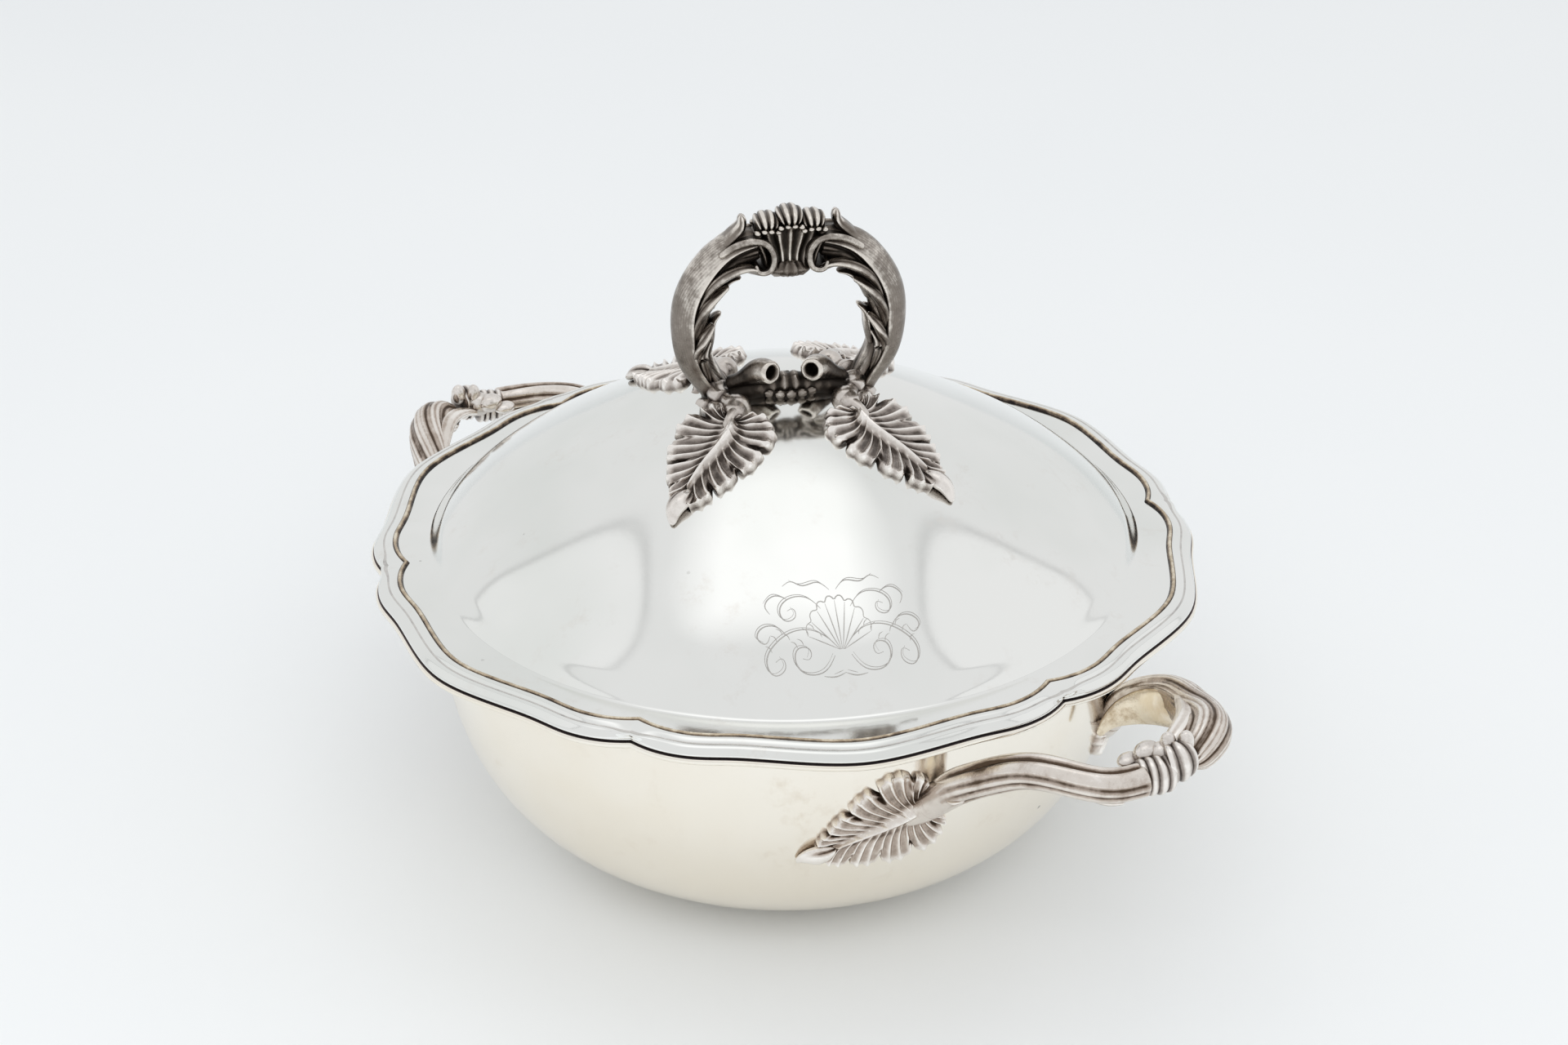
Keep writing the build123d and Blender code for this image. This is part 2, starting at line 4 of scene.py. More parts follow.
import bmesh
import bpy
import numpy as np
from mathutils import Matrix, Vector


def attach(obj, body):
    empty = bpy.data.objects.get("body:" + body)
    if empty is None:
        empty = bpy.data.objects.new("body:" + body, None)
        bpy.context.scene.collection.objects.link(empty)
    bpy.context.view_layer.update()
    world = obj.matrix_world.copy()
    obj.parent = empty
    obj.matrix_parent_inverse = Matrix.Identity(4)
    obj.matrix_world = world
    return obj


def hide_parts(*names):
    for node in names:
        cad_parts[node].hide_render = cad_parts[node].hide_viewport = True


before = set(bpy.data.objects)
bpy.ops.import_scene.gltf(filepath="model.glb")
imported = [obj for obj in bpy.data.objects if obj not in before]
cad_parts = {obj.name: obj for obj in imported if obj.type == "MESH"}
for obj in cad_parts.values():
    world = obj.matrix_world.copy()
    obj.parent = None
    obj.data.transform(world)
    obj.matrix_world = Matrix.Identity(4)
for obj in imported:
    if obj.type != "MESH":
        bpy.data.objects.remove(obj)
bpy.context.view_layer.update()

MM = 0.001
RIM = 102.0                 # height of the face that carries the cover
TAU = 2 * math.pi
LATHE_STEPS = 360
CHORD = 0.5                 # step for measuring a wall's slope


# ---------------------------------------------------------------- curves and grids
def natural_spline(stations, values):
    """A smooth function through values (one row per station), with free ends."""
    x = np.asarray(stations, float)
    y = np.asarray(values, float)
    flat = y.ndim == 1
    y = y[:, None] if flat else y
    step = np.diff(x)
    size = len(x)
    matrix = np.eye(size)
    right = np.zeros_like(y)
    for i in range(1, size - 1):
        matrix[i, i - 1:i + 2] = step[i - 1], 2 * (step[i - 1] + step[i]), step[i]
        right[i] = 6 * ((y[i + 1] - y[i]) / step[i] - (y[i] - y[i - 1]) / step[i - 1])
    bend = np.linalg.solve(matrix, right)

    def value(at):
        at = np.clip(np.asarray(at, float), x[0], x[-1])
        i = np.clip(np.searchsorted(x, at) - 1, 0, size - 2)
        h = step[i][..., None]
        a = (x[i + 1] - at)[..., None] / h
        b = 1 - a
        out = a * y[i] + b * y[i + 1]
        out = out + ((a ** 3 - a) * bend[i] + (b ** 3 - b) * bend[i + 1]) * h * h / 6
        return out[..., 0] if flat else out

    return value


def path(points):
    """A smooth line through points, as a function of 0 to 1."""
    points = np.asarray(points, float)
    gaps = np.linalg.norm(np.diff(points, axis=0), axis=1)
    stations = np.concatenate([[0], np.cumsum(gaps)])
    return natural_spline(stations / stations[-1], points)


def ramp(x, low, high):
    """0 below low, 1 above high, and smooth between."""
    t = np.clip((np.asarray(x, float) - low) / (high - low), 0, 1)
    return t * t * (3 - 2 * t)


def bump(x, centre, width):
    """1 at centre, fading to almost 0 a width away."""
    return np.exp(-(((np.asarray(x, float) - centre) / width) ** 2) * 2.5)


def unit(v):
    """The vectors at length 1."""
    v = np.asarray(v, float)
    return v / np.maximum(np.linalg.norm(v, axis=-1, keepdims=True), 1e-9)


def wrap(turn):
    """The turn brought to -pi..pi."""
    return (turn + math.pi) % TAU - math.pi


def grid_faces(rows, columns, wrap_rows=False, wrap_columns=False):
    """The quads of a grid of points, closed along rows or columns where asked."""
    r = np.arange(rows if wrap_rows else rows - 1)
    c = np.arange(columns if wrap_columns else columns - 1)
    r0, c0 = np.meshgrid(r, c, indexing="ij")
    r1, c1 = (r0 + 1) % rows, (c0 + 1) % columns
    corners = [r0 * columns + c0, r1 * columns + c0, r1 * columns + c1, r0 * columns + c1]
    return [tuple(q) for q in np.stack(corners, -1).reshape(-1, 4).tolist()]


def cap_faces(rows, columns):
    """Triangles that close both ends of a grid, on the two points that follow it."""
    first, base = rows * columns, (rows - 1) * columns
    faces = []
    for k in range(columns):
        n = (k + 1) % columns
        faces += [(first, k, n), (first + 1, base + n, base + k)]
    return faces


class Form:
    """Points, faces and the chasing at each point.

    recess is about -0.6 where the silver is painted bright, wear with a painted highlight, 0 where it is
    plain and 1 in a hollow, painted dark with tarnish and painted shade.
    """

    def __init__(self, points, faces, recess=0.0):
        self.points = np.asarray(points, float).reshape(-1, 3)
        self.faces = faces
        self.recess = np.broadcast_to(np.asarray(recess, float), (len(self.points),)).copy()

    def mapped(self, change, flip=False):
        faces = [tuple(reversed(f)) for f in self.faces] if flip else self.faces
        return Form(change(self.points), faces, self.recess)

    def turned(self, degrees):
        c, s = math.cos(math.radians(degrees)), math.sin(math.radians(degrees))
        return self.mapped(lambda p: p @ np.array([[c, s, 0], [-s, c, 0], [0, 0, 1]]))

    def moved(self, offset):
        return self.mapped(lambda p: p + np.asarray(offset, float))

    def mirrored(self, sx, sy):
        return self.mapped(lambda p: p * np.array([sx, sy, 1.0]), flip=sx * sy < 0)


def joined(forms):
    """Several forms as one."""
    points, faces, recess, base = [], [], [], 0
    for form in forms:
        points.append(form.points)
        recess.append(form.recess)
        faces += [tuple(i + base for i in f) for f in form.faces]
        base += len(form.points)
    return Form(np.concatenate(points), faces, np.concatenate(recess))


def grid_form(points, recess=0.0, closed=False):
    """A form from a grid of points: open, or closed on itself both ways."""
    rows, columns = points.shape[:2]
    recess = np.broadcast_to(recess, (rows, columns)).reshape(-1)
    return Form(points, grid_faces(rows, columns, closed, closed), recess)


def carried_round(radius, height, degrees):
    """A closed section carried round Z, from grids with one row for each angle."""
    turn = np.radians(degrees)[:, None]
    columns = np.broadcast_arrays(radius * np.cos(turn), radius * np.sin(turn), height)
    return grid_form(np.stack(columns, -1), closed=True)


def lathe(profile):
    """A closed profile of (radius, height) points, turned about Z."""
    radius, height = np.asarray(profile, float).T
    return carried_round(radius, height, np.arange(LATHE_STEPS) * 360 / LATHE_STEPS)


def toned(tone):
    """A relief without any height, and the same recess all over."""
    return lambda first, second: (0 * first, tone + 0 * first)


PLAIN = toned(0.0)


def tube(line, radii, relief=PLAIN, along=90, around=48, side=None, flat=(1, 1), rounded=(0, 0)):
    """A rod of changing thickness on a smooth line, chased by relief(u, turn) -> (height, recess).

    Turn is 0 on the side vector (level by default) and a quarter turn towards the upper side.
    flat scales the section along and across that vector, and rounded gives the ends' lengths.
    """
    spine = path(line)
    size = natural_spline(np.linspace(0, 1, len(radii)), radii)
    u = np.linspace(0, 1, along)
    if any(rounded):
        u = 0.5 - 0.5 * np.cos(u * math.pi)
    centre = spine(u)
    tangent = unit(spine(np.clip(u + 1e-3, 0, 1)) - spine(np.clip(u - 1e-3, 0, 1)))
    if side is None:
        across = unit(np.cross([0, 0, 1.0], tangent))
    else:
        across = unit(np.asarray(side, float) - tangent * (tangent @ side)[:, None])
    upward = np.cross(tangent, across)
    length = np.linalg.norm(np.diff(centre, axis=0), axis=1).sum()
    shrink = np.ones(along)
    for end, reach in ((u, rounded[0]), (1 - u, rounded[1])):
        if reach:
            near = np.clip(end * length / reach, 0, 1)
            shrink = shrink * np.sqrt(np.clip(1 - (1 - near) ** 2, 0.0004, 1))
    turn = np.linspace(0, TAU, around, endpoint=False)
    uu, tt = np.meshgrid(u, turn, indexing="ij")
    height, recess = relief(uu, tt)
    reach = (size(u)[:, None] + height) * shrink[:, None]
    points = (
        centre[:, None]
        + (reach * np.cos(tt) * flat[0])[..., None] * across[:, None]
        + (reach * np.sin(tt) * flat[1])[..., None] * upward[:, None]
    )
    points = np.vstack([points.reshape(-1, 3), centre[:1], centre[-1:]])
    recess = np.append(np.broadcast_to(recess, uu.shape), [0, 0])
    faces = grid_faces(along, around, wrap_columns=True) + cap_faces(along, around)
    return Form(points, faces, recess)


def ball(centre, size, relief=PLAIN, around=32):
    """A rounded bud with three half sizes, chased by relief(lat, lon) -> (height, recess)."""
    lat = np.linspace(0.02, math.pi - 0.02, around // 2 + 4)
    lon = np.linspace(0, TAU, around, endpoint=False)
    la, lo = np.meshgrid(lat, lon, indexing="ij")
    height, recess = relief(la, lo)
    level = np.sin(la)
    points = np.stack([level * np.cos(lo), level * np.sin(lo), np.cos(la)], -1)
    points = points * (1 + height)[..., None] * np.asarray(size, float) + np.asarray(centre, float)
    points = np.vstack([points.reshape(-1, 3), points[0].mean(0), points[-1].mean(0)])
    recess = np.append(np.broadcast_to(recess, la.shape), [0, 0])
    faces = grid_faces(len(lat), around, wrap_columns=True) + cap_faces(len(lat), around)
    return Form(points, faces, recess)


# ---------------------------------------------------------------- materials
def new_material(name):
    material = bpy.data.materials.new(name)
    material.use_nodes = True
    tree = material.node_tree
    return material, tree, tree.nodes["Principled BSDF"]


def plug(tree, target, inputs):
    """Set a node's inputs, each from a socket or to a value."""
    for key, value in inputs.items():
        if isinstance(value, bpy.types.NodeSocket):
            tree.links.new(value, target.inputs[key])
        else:
            target.inputs[key].default_value = value


def node(tree, kind, inputs=None, **values):
    made = tree.nodes.new(kind)
    for key, value in values.items():
        setattr(made, key, value)
    plug(tree, made, inputs or {})
    return made


def in_object(tree):
    """The place on the object, which the patterns follow."""
    return node(tree, "ShaderNodeTexCoord").outputs["Object"]


def noise(tree, scale, detail=4.0, rough=0.55):
    inputs = {"Scale": scale, "Detail": detail, "Roughness": rough, "Vector": in_object(tree)}
    return node(tree, "ShaderNodeTexNoise", inputs).outputs["Fac"]


def remap(tree, value, low, high, to_low, to_high):
    inputs = {"Value": value, "From Min": low, "From Max": high, "To Min": to_low, "To Max": to_high}
    return node(tree, "ShaderNodeMapRange", inputs).outputs["Result"]


def rgba(colour):
    return colour if isinstance(colour, bpy.types.NodeSocket) else (*colour, 1.0)


def mix_colour(tree, factor, first, second):
    inputs = {0: factor, 6: rgba(first), 7: rgba(second)}
    return node(tree, "ShaderNodeMix", inputs, data_type="RGBA").outputs[2]


def maths(tree, operation, *values, clamp=False):
    inputs = dict(enumerate(values))
    return node(tree, "ShaderNodeMath", inputs, operation=operation, use_clamp=clamp).outputs[0]


def relief_map(tree, strength, distance, height, under=None):
    """A bump from a height, on top of an earlier one."""
    inputs = {"Strength": strength, "Distance": distance, "Height": height}
    if under:
        inputs["Normal"] = under
    return node(tree, "ShaderNodeBump", inputs).outputs[0]


def polished(name, clean, stain, warm, rough_low, rough_high, stain_amount):
    """Hand-polished sheet silver: faint stains, small pits and fine wear, almost a mirror."""
    material, tree, shader = new_material(name)
    broad = remap(tree, noise(tree, 14.0, 3.0), 0.42, 0.68, 0.0, stain_amount)
    speckle = remap(tree, noise(tree, 160.0, 6.0, 0.7), 0.50, 0.72, 0.0, 1.0)
    blotch = remap(tree, noise(tree, 38.0, 5.0, 0.65), 0.52, 0.70, 0.0, 1.0)
    wear_and_sheen = maths(tree, "MULTIPLY", blotch, speckle)
    colour = mix_colour(tree, broad, clean, stain)
    colour = mix_colour(tree, maths(tree, "MULTIPLY", wear_and_sheen, 0.55), colour, warm)
    cells = node(tree, "ShaderNodeTexVoronoi", {"Scale": 95.0, "Vector": in_object(tree)})
    pit = remap(tree, cells.outputs["Distance"], 0.045, 0.075, 1.0, 0.0)
    few = remap(tree, noise(tree, 31.0, 2.0), 0.60, 0.66, 0.0, 1.0)
    pitted = maths(tree, "MULTIPLY", maths(tree, "MULTIPLY", pit, few, clamp=True), 0.75)
    colour = mix_colour(tree, pitted, colour, (0.16, 0.14, 0.12))
    rough = remap(tree, noise(tree, 22.0, 6.0, 0.7), 0.3, 0.75, rough_low, rough_high)
    rough = maths(tree, "ADD", rough, maths(tree, "MULTIPLY", wear_and_sheen, 0.10))
    fine = relief_map(tree, 0.03, 0.0002, noise(tree, 420.0, 8.0, 0.75))
    soft = relief_map(tree, 0.05, 0.002, noise(tree, 9.0, 1.0), fine)
    plug(tree, shader, {"Metallic": 1.0, "Base Color": colour, "Roughness": rough, "Normal": soft})
    return material


def chased(name, colours, rough=0.2, hatch=0.0, mottle=0.16):
    """Cast and chased silver, from its high points, painted bright with wear and a painted highlight, to
    its recesses, painted black-brown with tarnish and painted shade.

    The four colours are the brightest, for wear and painted highlights, then the bright and dull ones, and
    the dark one, for tarnish and painted shade.
    """
    material, tree, shader = new_material(name)
    recess = node(tree, "ShaderNodeAttribute", attribute_name="recess").outputs["Fac"]
    # Painted shade: ambient occlusion darkens the colour in creases and where pieces meet.
    hollow = node(tree, "ShaderNodeAmbientOcclusion", {"Distance": 0.0035}, samples=10).outputs["AO"]
    shade = remap(tree, hollow, 0.30, 0.92, 0.7, 0.0)
    mottled = remap(tree, noise(tree, 210.0, 6.0, 0.72), 0.3, 0.72, -mottle, mottle)
    patches = remap(tree, noise(tree, 60.0, 4.0), 0.35, 0.65, -0.10, 0.14)
    deep = maths(tree, "ADD", recess, shade)
    deep = maths(tree, "ADD", deep, maths(tree, "ADD", mottled, patches))
    level = remap(tree, deep, -0.6, 1.2, 0.0, 1.0)
    ramped = node(tree, "ShaderNodeValToRGB", {"Fac": level})
    stops = ramped.color_ramp
    stops.interpolation = "EASE"
    while len(stops.elements) < len(colours):
        stops.elements.new(0.5)
    for stop, place, colour in zip(stops.elements, (0.08, 0.34, 0.58, 0.90), colours):
        stop.position, stop.color = place, rgba(colour)
    grain = remap(tree, noise(tree, 130.0, 6.0, 0.7), 0.3, 0.7, rough - 0.05, rough + 0.09)
    height = noise(tree, 650.0, 6.0, 0.7)
    if hatch:
        inputs = {"Scale": 900.0, "Distortion": 2.0, "Detail": 2.0, "Vector": in_object(tree)}
        wave = node(tree, "ShaderNodeTexWave", inputs, bands_direction="DIAGONAL")
        height = maths(tree, "ADD", height, maths(tree, "MULTIPLY", wave.outputs["Fac"], hatch))
    plug(tree, shader, {
        "Base Color": ramped.outputs["Color"],
        "Metallic": remap(tree, level, 0.5, 1.0, 1.0, 0.75),
        "Roughness": maths(tree, "ADD", grain, maths(tree, "MULTIPLY", level, 0.22)),
        "Normal": relief_map(tree, 0.28, 0.00022, height),
    })
    return material


COVER_SILVER = polished(
    "cover_silver", (0.89, 0.89, 0.865), (0.79, 0.805, 0.77), (0.72, 0.66, 0.60), 0.055, 0.13, 0.75)
BOWL_SILVER = polished(
    "bowl_silver", (0.95, 0.905, 0.82), (0.91, 0.845, 0.73), (0.70, 0.60, 0.47), 0.10, 0.20, 0.8)
CAST_SILVER = chased("cast_silver", [
    (0.93, 0.885, 0.84), (0.64, 0.59, 0.545), (0.35, 0.305, 0.275), (0.055, 0.042, 0.034)], 0.12, 0.0, 0.22)
RING_SILVER = chased("ring_silver", [
    (0.80, 0.745, 0.68), (0.25, 0.218, 0.19), (0.13, 0.108, 0.09), (0.02, 0.015, 0.011)], 0.16, 0.25, 0.26)
PALE_SILVER = chased("pale_silver", [
    (0.96, 0.92, 0.87), (0.79, 0.73, 0.67), (0.49, 0.41, 0.35), (0.085, 0.055, 0.035)], 0.11, 0.0, 0.24)
WARM_HOLLOW = chased("warm_hollow", [
    (0.95, 0.89, 0.79), (0.84, 0.74, 0.58), (0.52, 0.40, 0.26), (0.12, 0.075, 0.045)], 0.14, 0.0, 0.34)
TARNISH = chased("tarnished_bead", [
    (0.82, 0.74, 0.60), (0.52, 0.42, 0.30), (0.20, 0.15, 0.11), (0.02, 0.015, 0.014)], 0.16, 0.0, 0.5)
JOINT_DARK = chased("joint_line", [
    (0.34, 0.28, 0.26), (0.24, 0.195, 0.19), (0.16, 0.13, 0.13), (0.10, 0.08, 0.085)], 0.4)
# Painted shade: a grey line along the valley between the moulding's bands.
SOFT_LINE = chased("groove_painted_shade", [
    (0.80, 0.78, 0.75), (0.66, 0.64, 0.61), (0.45, 0.43, 0.42), (0.20, 0.18, 0.17)], 0.2, 0.0, 0.3)
ENGRAVED = chased("engraved_line", [
    (0.66, 0.64, 0.61), (0.56, 0.54, 0.51), (0.38, 0.36, 0.34), (0.16, 0.14, 0.13)], 0.3)
BRASS = chased("fixing_brass", [
    (0.76, 0.64, 0.40), (0.66, 0.54, 0.32), (0.40, 0.31, 0.17), (0.10, 0.07, 0.04)], 0.25)

# ---------------------------------------------------------------- adding pieces
def in_scene(name, data, place=(0, 0, 0)):
    """A new object, linked to the scene."""
    made = bpy.data.objects.new(name, data)
    bpy.context.scene.collection.objects.link(made)
    made.location = place
    return made


def add_piece(name, form, material, body, replaced=(), zones=None):
    """One piece of the object from a form in millimetres.

    zones gives further materials, and for each face the number of its material.
    """
    mesh = bpy.data.meshes.new(name)
    mesh.from_pydata((form.points * MM).tolist(), [], form.faces)
    recess = mesh.attributes.new("recess", "FLOAT", "POINT")
    recess.data.foreach_set("value", form.recess.astype(np.float32))
    mesh.materials.append(material)
    if zones is not None:
        extra, index = zones
        for other in extra:
            mesh.materials.append(other)
        mesh.polygons.foreach_set("material_index", np.asarray(index, np.int32))
    work = bmesh.new()
    work.from_mesh(mesh)
    bmesh.ops.recalc_face_normals(work, faces=work.faces)
    work.to_mesh(mesh)
    work.free()
    mesh.polygons.foreach_set("use_smooth", [True] * len(mesh.polygons))
    mesh.update()
    piece = in_scene(name, mesh)
    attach(piece, body)
    if replaced:
        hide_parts(*replaced)


def add_cast(name, form, material, body, *replaced):
    add_piece(name, form, material, body, replaced)


def refinish(names, material):
    """Give the design's own pieces whose names start like this another material."""
    for name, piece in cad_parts.items():
        if name.startswith(names):
            piece.data.materials.clear()
            piece.data.materials.append(material)


def lifted(points):
    """Points whose heights are given above the rim, or (x, z) points on the middle line y = 0."""
    return [(p[0], p[1] if len(p) == 3 else 0, RIM + p[-1]) for p in points]


# ---------------------------------------------------------------- shared outlines
BOWL_RADIUS, BOWL_DEPTH, BOWL_POWER, BOWL_WALL = 113.6, 103.0, 3.0, 1.8
DOME_PROFILE = [(0, 59.0), (32.5, 53.5), (62.4, 39.4), (83, 28.9), (101, 17), (113, 6.6)]
FLANGE = 3.4                # height of the cover's flat flange above the rim
FLANGE_RADIUS = 120.0
LOBES = 6
LOBE = 360 / LOBES
HALF_LOBE = [(0, 130.2), (2.2, 132.0), (5, 133.4), (9, 133.7), (13.5, 132.6), (18, 132.9),
             (24, 134.8), (30, 136.2)]
PER_LOBE = 84               # stations round each lobe

dome_curve = np.polyfit([(r / 100) ** 2 for r, _ in DOME_PROFILE], [z for _, z in DOME_PROFILE], 3)
whole_lobe = HALF_LOBE + [(LOBE - a, r) for a, r in reversed(HALF_LOBE[:-1])]
lobe_spline = natural_spline(*zip(*whole_lobe))


def bowl_radius(height, inset=0.0):
    """The bowl wall's radius at a height above the table."""
    drop = np.clip((RIM - np.asarray(height, float)) / (BOWL_DEPTH - inset), 0, 1)
    return (BOWL_RADIUS - inset) * (1 - drop ** BOWL_POWER) ** (1 / BOWL_POWER)


def dome_height(radius):
    """Height of the cover's surface above the table."""
    radius = np.asarray(radius, float)
    curve = np.polyval(dome_curve, (np.clip(radius, 0, FLANGE_RADIUS) / 100) ** 2)
    blend = ramp(radius, FLANGE_RADIUS - 10, FLANGE_RADIUS)
    return RIM + np.maximum(curve * (1 - blend) + FLANGE * blend, FLANGE)


def rim_stations():
    """Angles round the rim, closer together near the cusps."""
    share = np.linspace(0, 1, PER_LOBE, endpoint=False)
    eased = share - 0.72 * np.sin(TAU * share) / TAU
    return np.concatenate([LOBE * k + LOBE * eased for k in range(LOBES)])


RIM_ANGLES = rim_stations()
RIM_RADII = lobe_spline(RIM_ANGLES % LOBE)

# ---------------------------------------------------------------- bowl
PLATE_EDGE = [(4.0, 100.35), (1.8, 100.15), (0.5, 100.25), (0.05, 100.7), (0, 101.1), (0.08, 101.6),
              (0.28, 101.93), (0.6, RIM), (3.0, RIM), (9, RIM)]
PLATE_LINE = (7, 8)         # the points beside the dark joint under the cover
COLLAR = [(114.9, 98.4), (115.1, 98.9), (115.6, 99.35), (116.6, 99.75)]


def bowl_profile():
    """The bowl's wall, outside and inside, with its flat base."""
    share = np.sin(np.linspace(0, 1, 60) * math.pi / 2)
    outer = [(bowl_radius(z), z) for z in RIM - RIM * share]
    inner = [(bowl_radius(z, BOWL_WALL), z) for z in RIM - (RIM - BOWL_WALL) * share]
    base = [(60, 0), (30, 0), (0.05, 0), (0.05, BOWL_WALL), (30, BOWL_WALL)]
    return outer + base + inner[::-1]


def rim_plate():
    """The bowl's lobed rim: a rounded outer edge, a plate that runs in to the wall, and a collar."""
    radius = RIM_RADII - 0.03
    wall = bowl_radius(RIM) + 0.02
    foot = COLLAR[-1][0]
    section = [(radius - inset, height) for inset, height in PLATE_EDGE]
    section += [((radius - 9) * (1 - s) + wall * s, RIM) for s in (0.35, 0.7, 1.0)]
    section += [(wall, COLLAR[0][1])] + COLLAR
    section += [(foot * (1 - s) + (radius - 4) * s, z) for s, z in ((0.3, 100.0), (0.7, 100.2))]
    radii = np.stack([np.broadcast_to(r, radius.shape) for r, _ in section], -1)
    return carried_round(radii, np.array([z for _, z in section]), RIM_ANGLES)


add_piece("bowl_shell", lathe(bowl_profile()), BOWL_SILVER, "bowl_body", ["bowl"])
plate = rim_plate()
plate_columns = len(plate.points) // len(RIM_ANGLES)
plate_zones = [int(face[0] % plate_columns in PLATE_LINE) for face in plate.faces]
add_piece("bowl_rim_plate", plate, BOWL_SILVER, "bowl_body", ["bowl_rim"],
          zones=([JOINT_DARK], plate_zones))

# ---------------------------------------------------------------- cover
SHEET = 1.3
SHEET_INSET = 6.6           # the cover's sheet ends this far inside the rim's outline


def cover_sheet():
    """The dome and its flange, from the middle out over the top and back underneath."""
    edge = RIM_RADII - SHEET_INSET - FLANGE_RADIUS
    dome = np.concatenate([[0.02], np.linspace(2, 104, 60), np.linspace(105, FLANGE_RADIUS, 26)])
    top_r = np.concatenate([
        np.broadcast_to(dome, (len(edge), len(dome))),
        FLANGE_RADIUS + edge[:, None] * np.array([0.35, 0.7, 1.0])], 1)
    top_z = dome_height(top_r)
    slope = (dome_height(top_r + 0.3) - dome_height(np.maximum(top_r - 0.3, 0))) / 0.6
    under_r = np.maximum(top_r + slope * SHEET * 0.6, 0.02)
    under_z = top_z - SHEET * np.sqrt(1 + slope ** 2) * 0.98
    radius = np.concatenate([top_r, under_r[:, ::-1]], 1)
    return carried_round(radius, np.concatenate([top_z, under_z[:, ::-1]], 1), RIM_ANGLES)


def cover_moulding():
    """The moulding round the cover: an outer band, an inner band and a small tarnished bead.

    Returns the form, and for each face the number of its material.
    """
    section = [(1.8, 0.3), (1.45, 0.42), (1.15, 0.55), (0.98, 0.75), (0.95, 1.0), (1.0, 1.35)]
    joint_end, valley = 3, 19       # the dark joint's last point, and where the bands meet
    for s in np.linspace(0, 1, 14):
        section.append((1.15 + 3.1 * s, 1.62 + 1.5 * math.sin(s * 1.85) / math.sin(1.85)))
    for s in np.linspace(0.04, 1, 12):
        section.append((4.3 + 2.75 * s, 3.0 + 1.1 * math.sin(s * 1.75) / math.sin(1.75)))
    bead_start = len(section)
    along_bead = np.linspace(0, 1, 13)
    for s in along_bead:
        section.append((7.15 + 1.75 * s, 3.55 + 0.95 * math.sin(0.35 + s * 2.65)))
    bead_end = len(section)
    section += [(9.05, FLANGE - 0.05), (8.0, FLANGE - 0.1), (6.3, FLANGE - 0.1), (6.2, 0.3), (3.0, 0.3)]
    inset, height = np.array(section).T
    # The cusps are filled a little, so that the bands run round them softly.
    near = np.minimum(RIM_ANGLES % LOBE, LOBE - RIM_ANGLES % LOBE)
    fill = 3.2 * np.exp(-((near / 2.4) ** 2))[:, None] * bump(inset, 3.6, 3.0) * (height > 1.4)
    form = carried_round(RIM_RADII[:, None] - inset + fill, RIM + height, RIM_ANGLES)
    dark = np.zeros(len(section))
    dark[bead_start:bead_end] = 0.9 * bump(along_bead, 0.0, 0.28) + 0.9 * ramp(along_bead, 0.55, 0.9) - 0.15
    dark[bead_end:] = 0.9
    form.recess = np.tile(dark, len(RIM_ANGLES))
    # The valley between the bands gets the grey line of painted shade.
    zones = []
    for face in form.faces:
        column = face[0] % len(section)
        bead = bead_start <= column <= bead_end
        zones.append(1 if bead else 2 if column < joint_end else 3 if abs(column - valley) <= 1 else 0)
    return form, zones


add_piece("cover_dome_sheet", cover_sheet(), COVER_SILVER, "cover_body", ["cover_dome"])
moulding, moulding_zones = cover_moulding()
add_piece("cover_rim_moulding", moulding, COVER_SILVER, "cover_body", ["cover_rim"],
          zones=([TARNISH, JOINT_DARK, SOFT_LINE], moulding_zones))
refinish("cover_bezel", COVER_SILVER)
refinish(("finial_stud", "finial_nut", "finial_washer"), BRASS)


def on_dome(root, angle):
    """Puts leaf coordinates on the cover: x along the leaf, y across it, z above the sheet."""
    c, s = math.cos(math.radians(angle)), math.sin(math.radians(angle))

    def place(x, y, z):
        px, py = root[0] + c * x - s * y, root[1] + s * x + c * y
        r = np.hypot(px, py)
        fall = (dome_height(r + CHORD) - dome_height(np.maximum(r - CHORD, 0))) / (2 * CHORD)
        size = np.sqrt(1 + fall ** 2)
        pull = 1 - fall / size * z / np.maximum(r, 0.01)
        return np.stack([px * pull, py * pull, dome_height(r) + z / size], -1)
    return place


def on_wall(side, root_angle, root_height, dip):
    """Puts leaf coordinates on the bowl's wall beside a handle."""
    turn, dip = math.radians(root_angle * side), math.radians(dip)
    outward = np.array([math.cos(turn), math.sin(turn), 0])
    away = np.array([-math.sin(turn), math.cos(turn), 0]) * side
    ahead = away * math.cos(dip) - np.array([0, 0, math.sin(dip)])
    across = np.cross(outward, ahead)

    def place(x, y, z):
        flat = np.outer(x, ahead) + np.outer(y, across)
        level = RIM + root_height + flat[:, 2]
        sideways = flat @ away
        wall = bowl_radius(level)
        fall = np.arctan2(wall - bowl_radius(level - CHORD), CHORD)
        out = np.sqrt(np.maximum(wall ** 2 - sideways ** 2, 0))
        base = np.outer(sideways, away) + np.outer(out, outward)
        push = unit(base) * np.cos(fall)[:, None] - np.outer(np.sin(fall), [0, 0, 1.0])
        return base + push * z[:, None] + np.outer(level, [0, 0, 1.0])
    return place


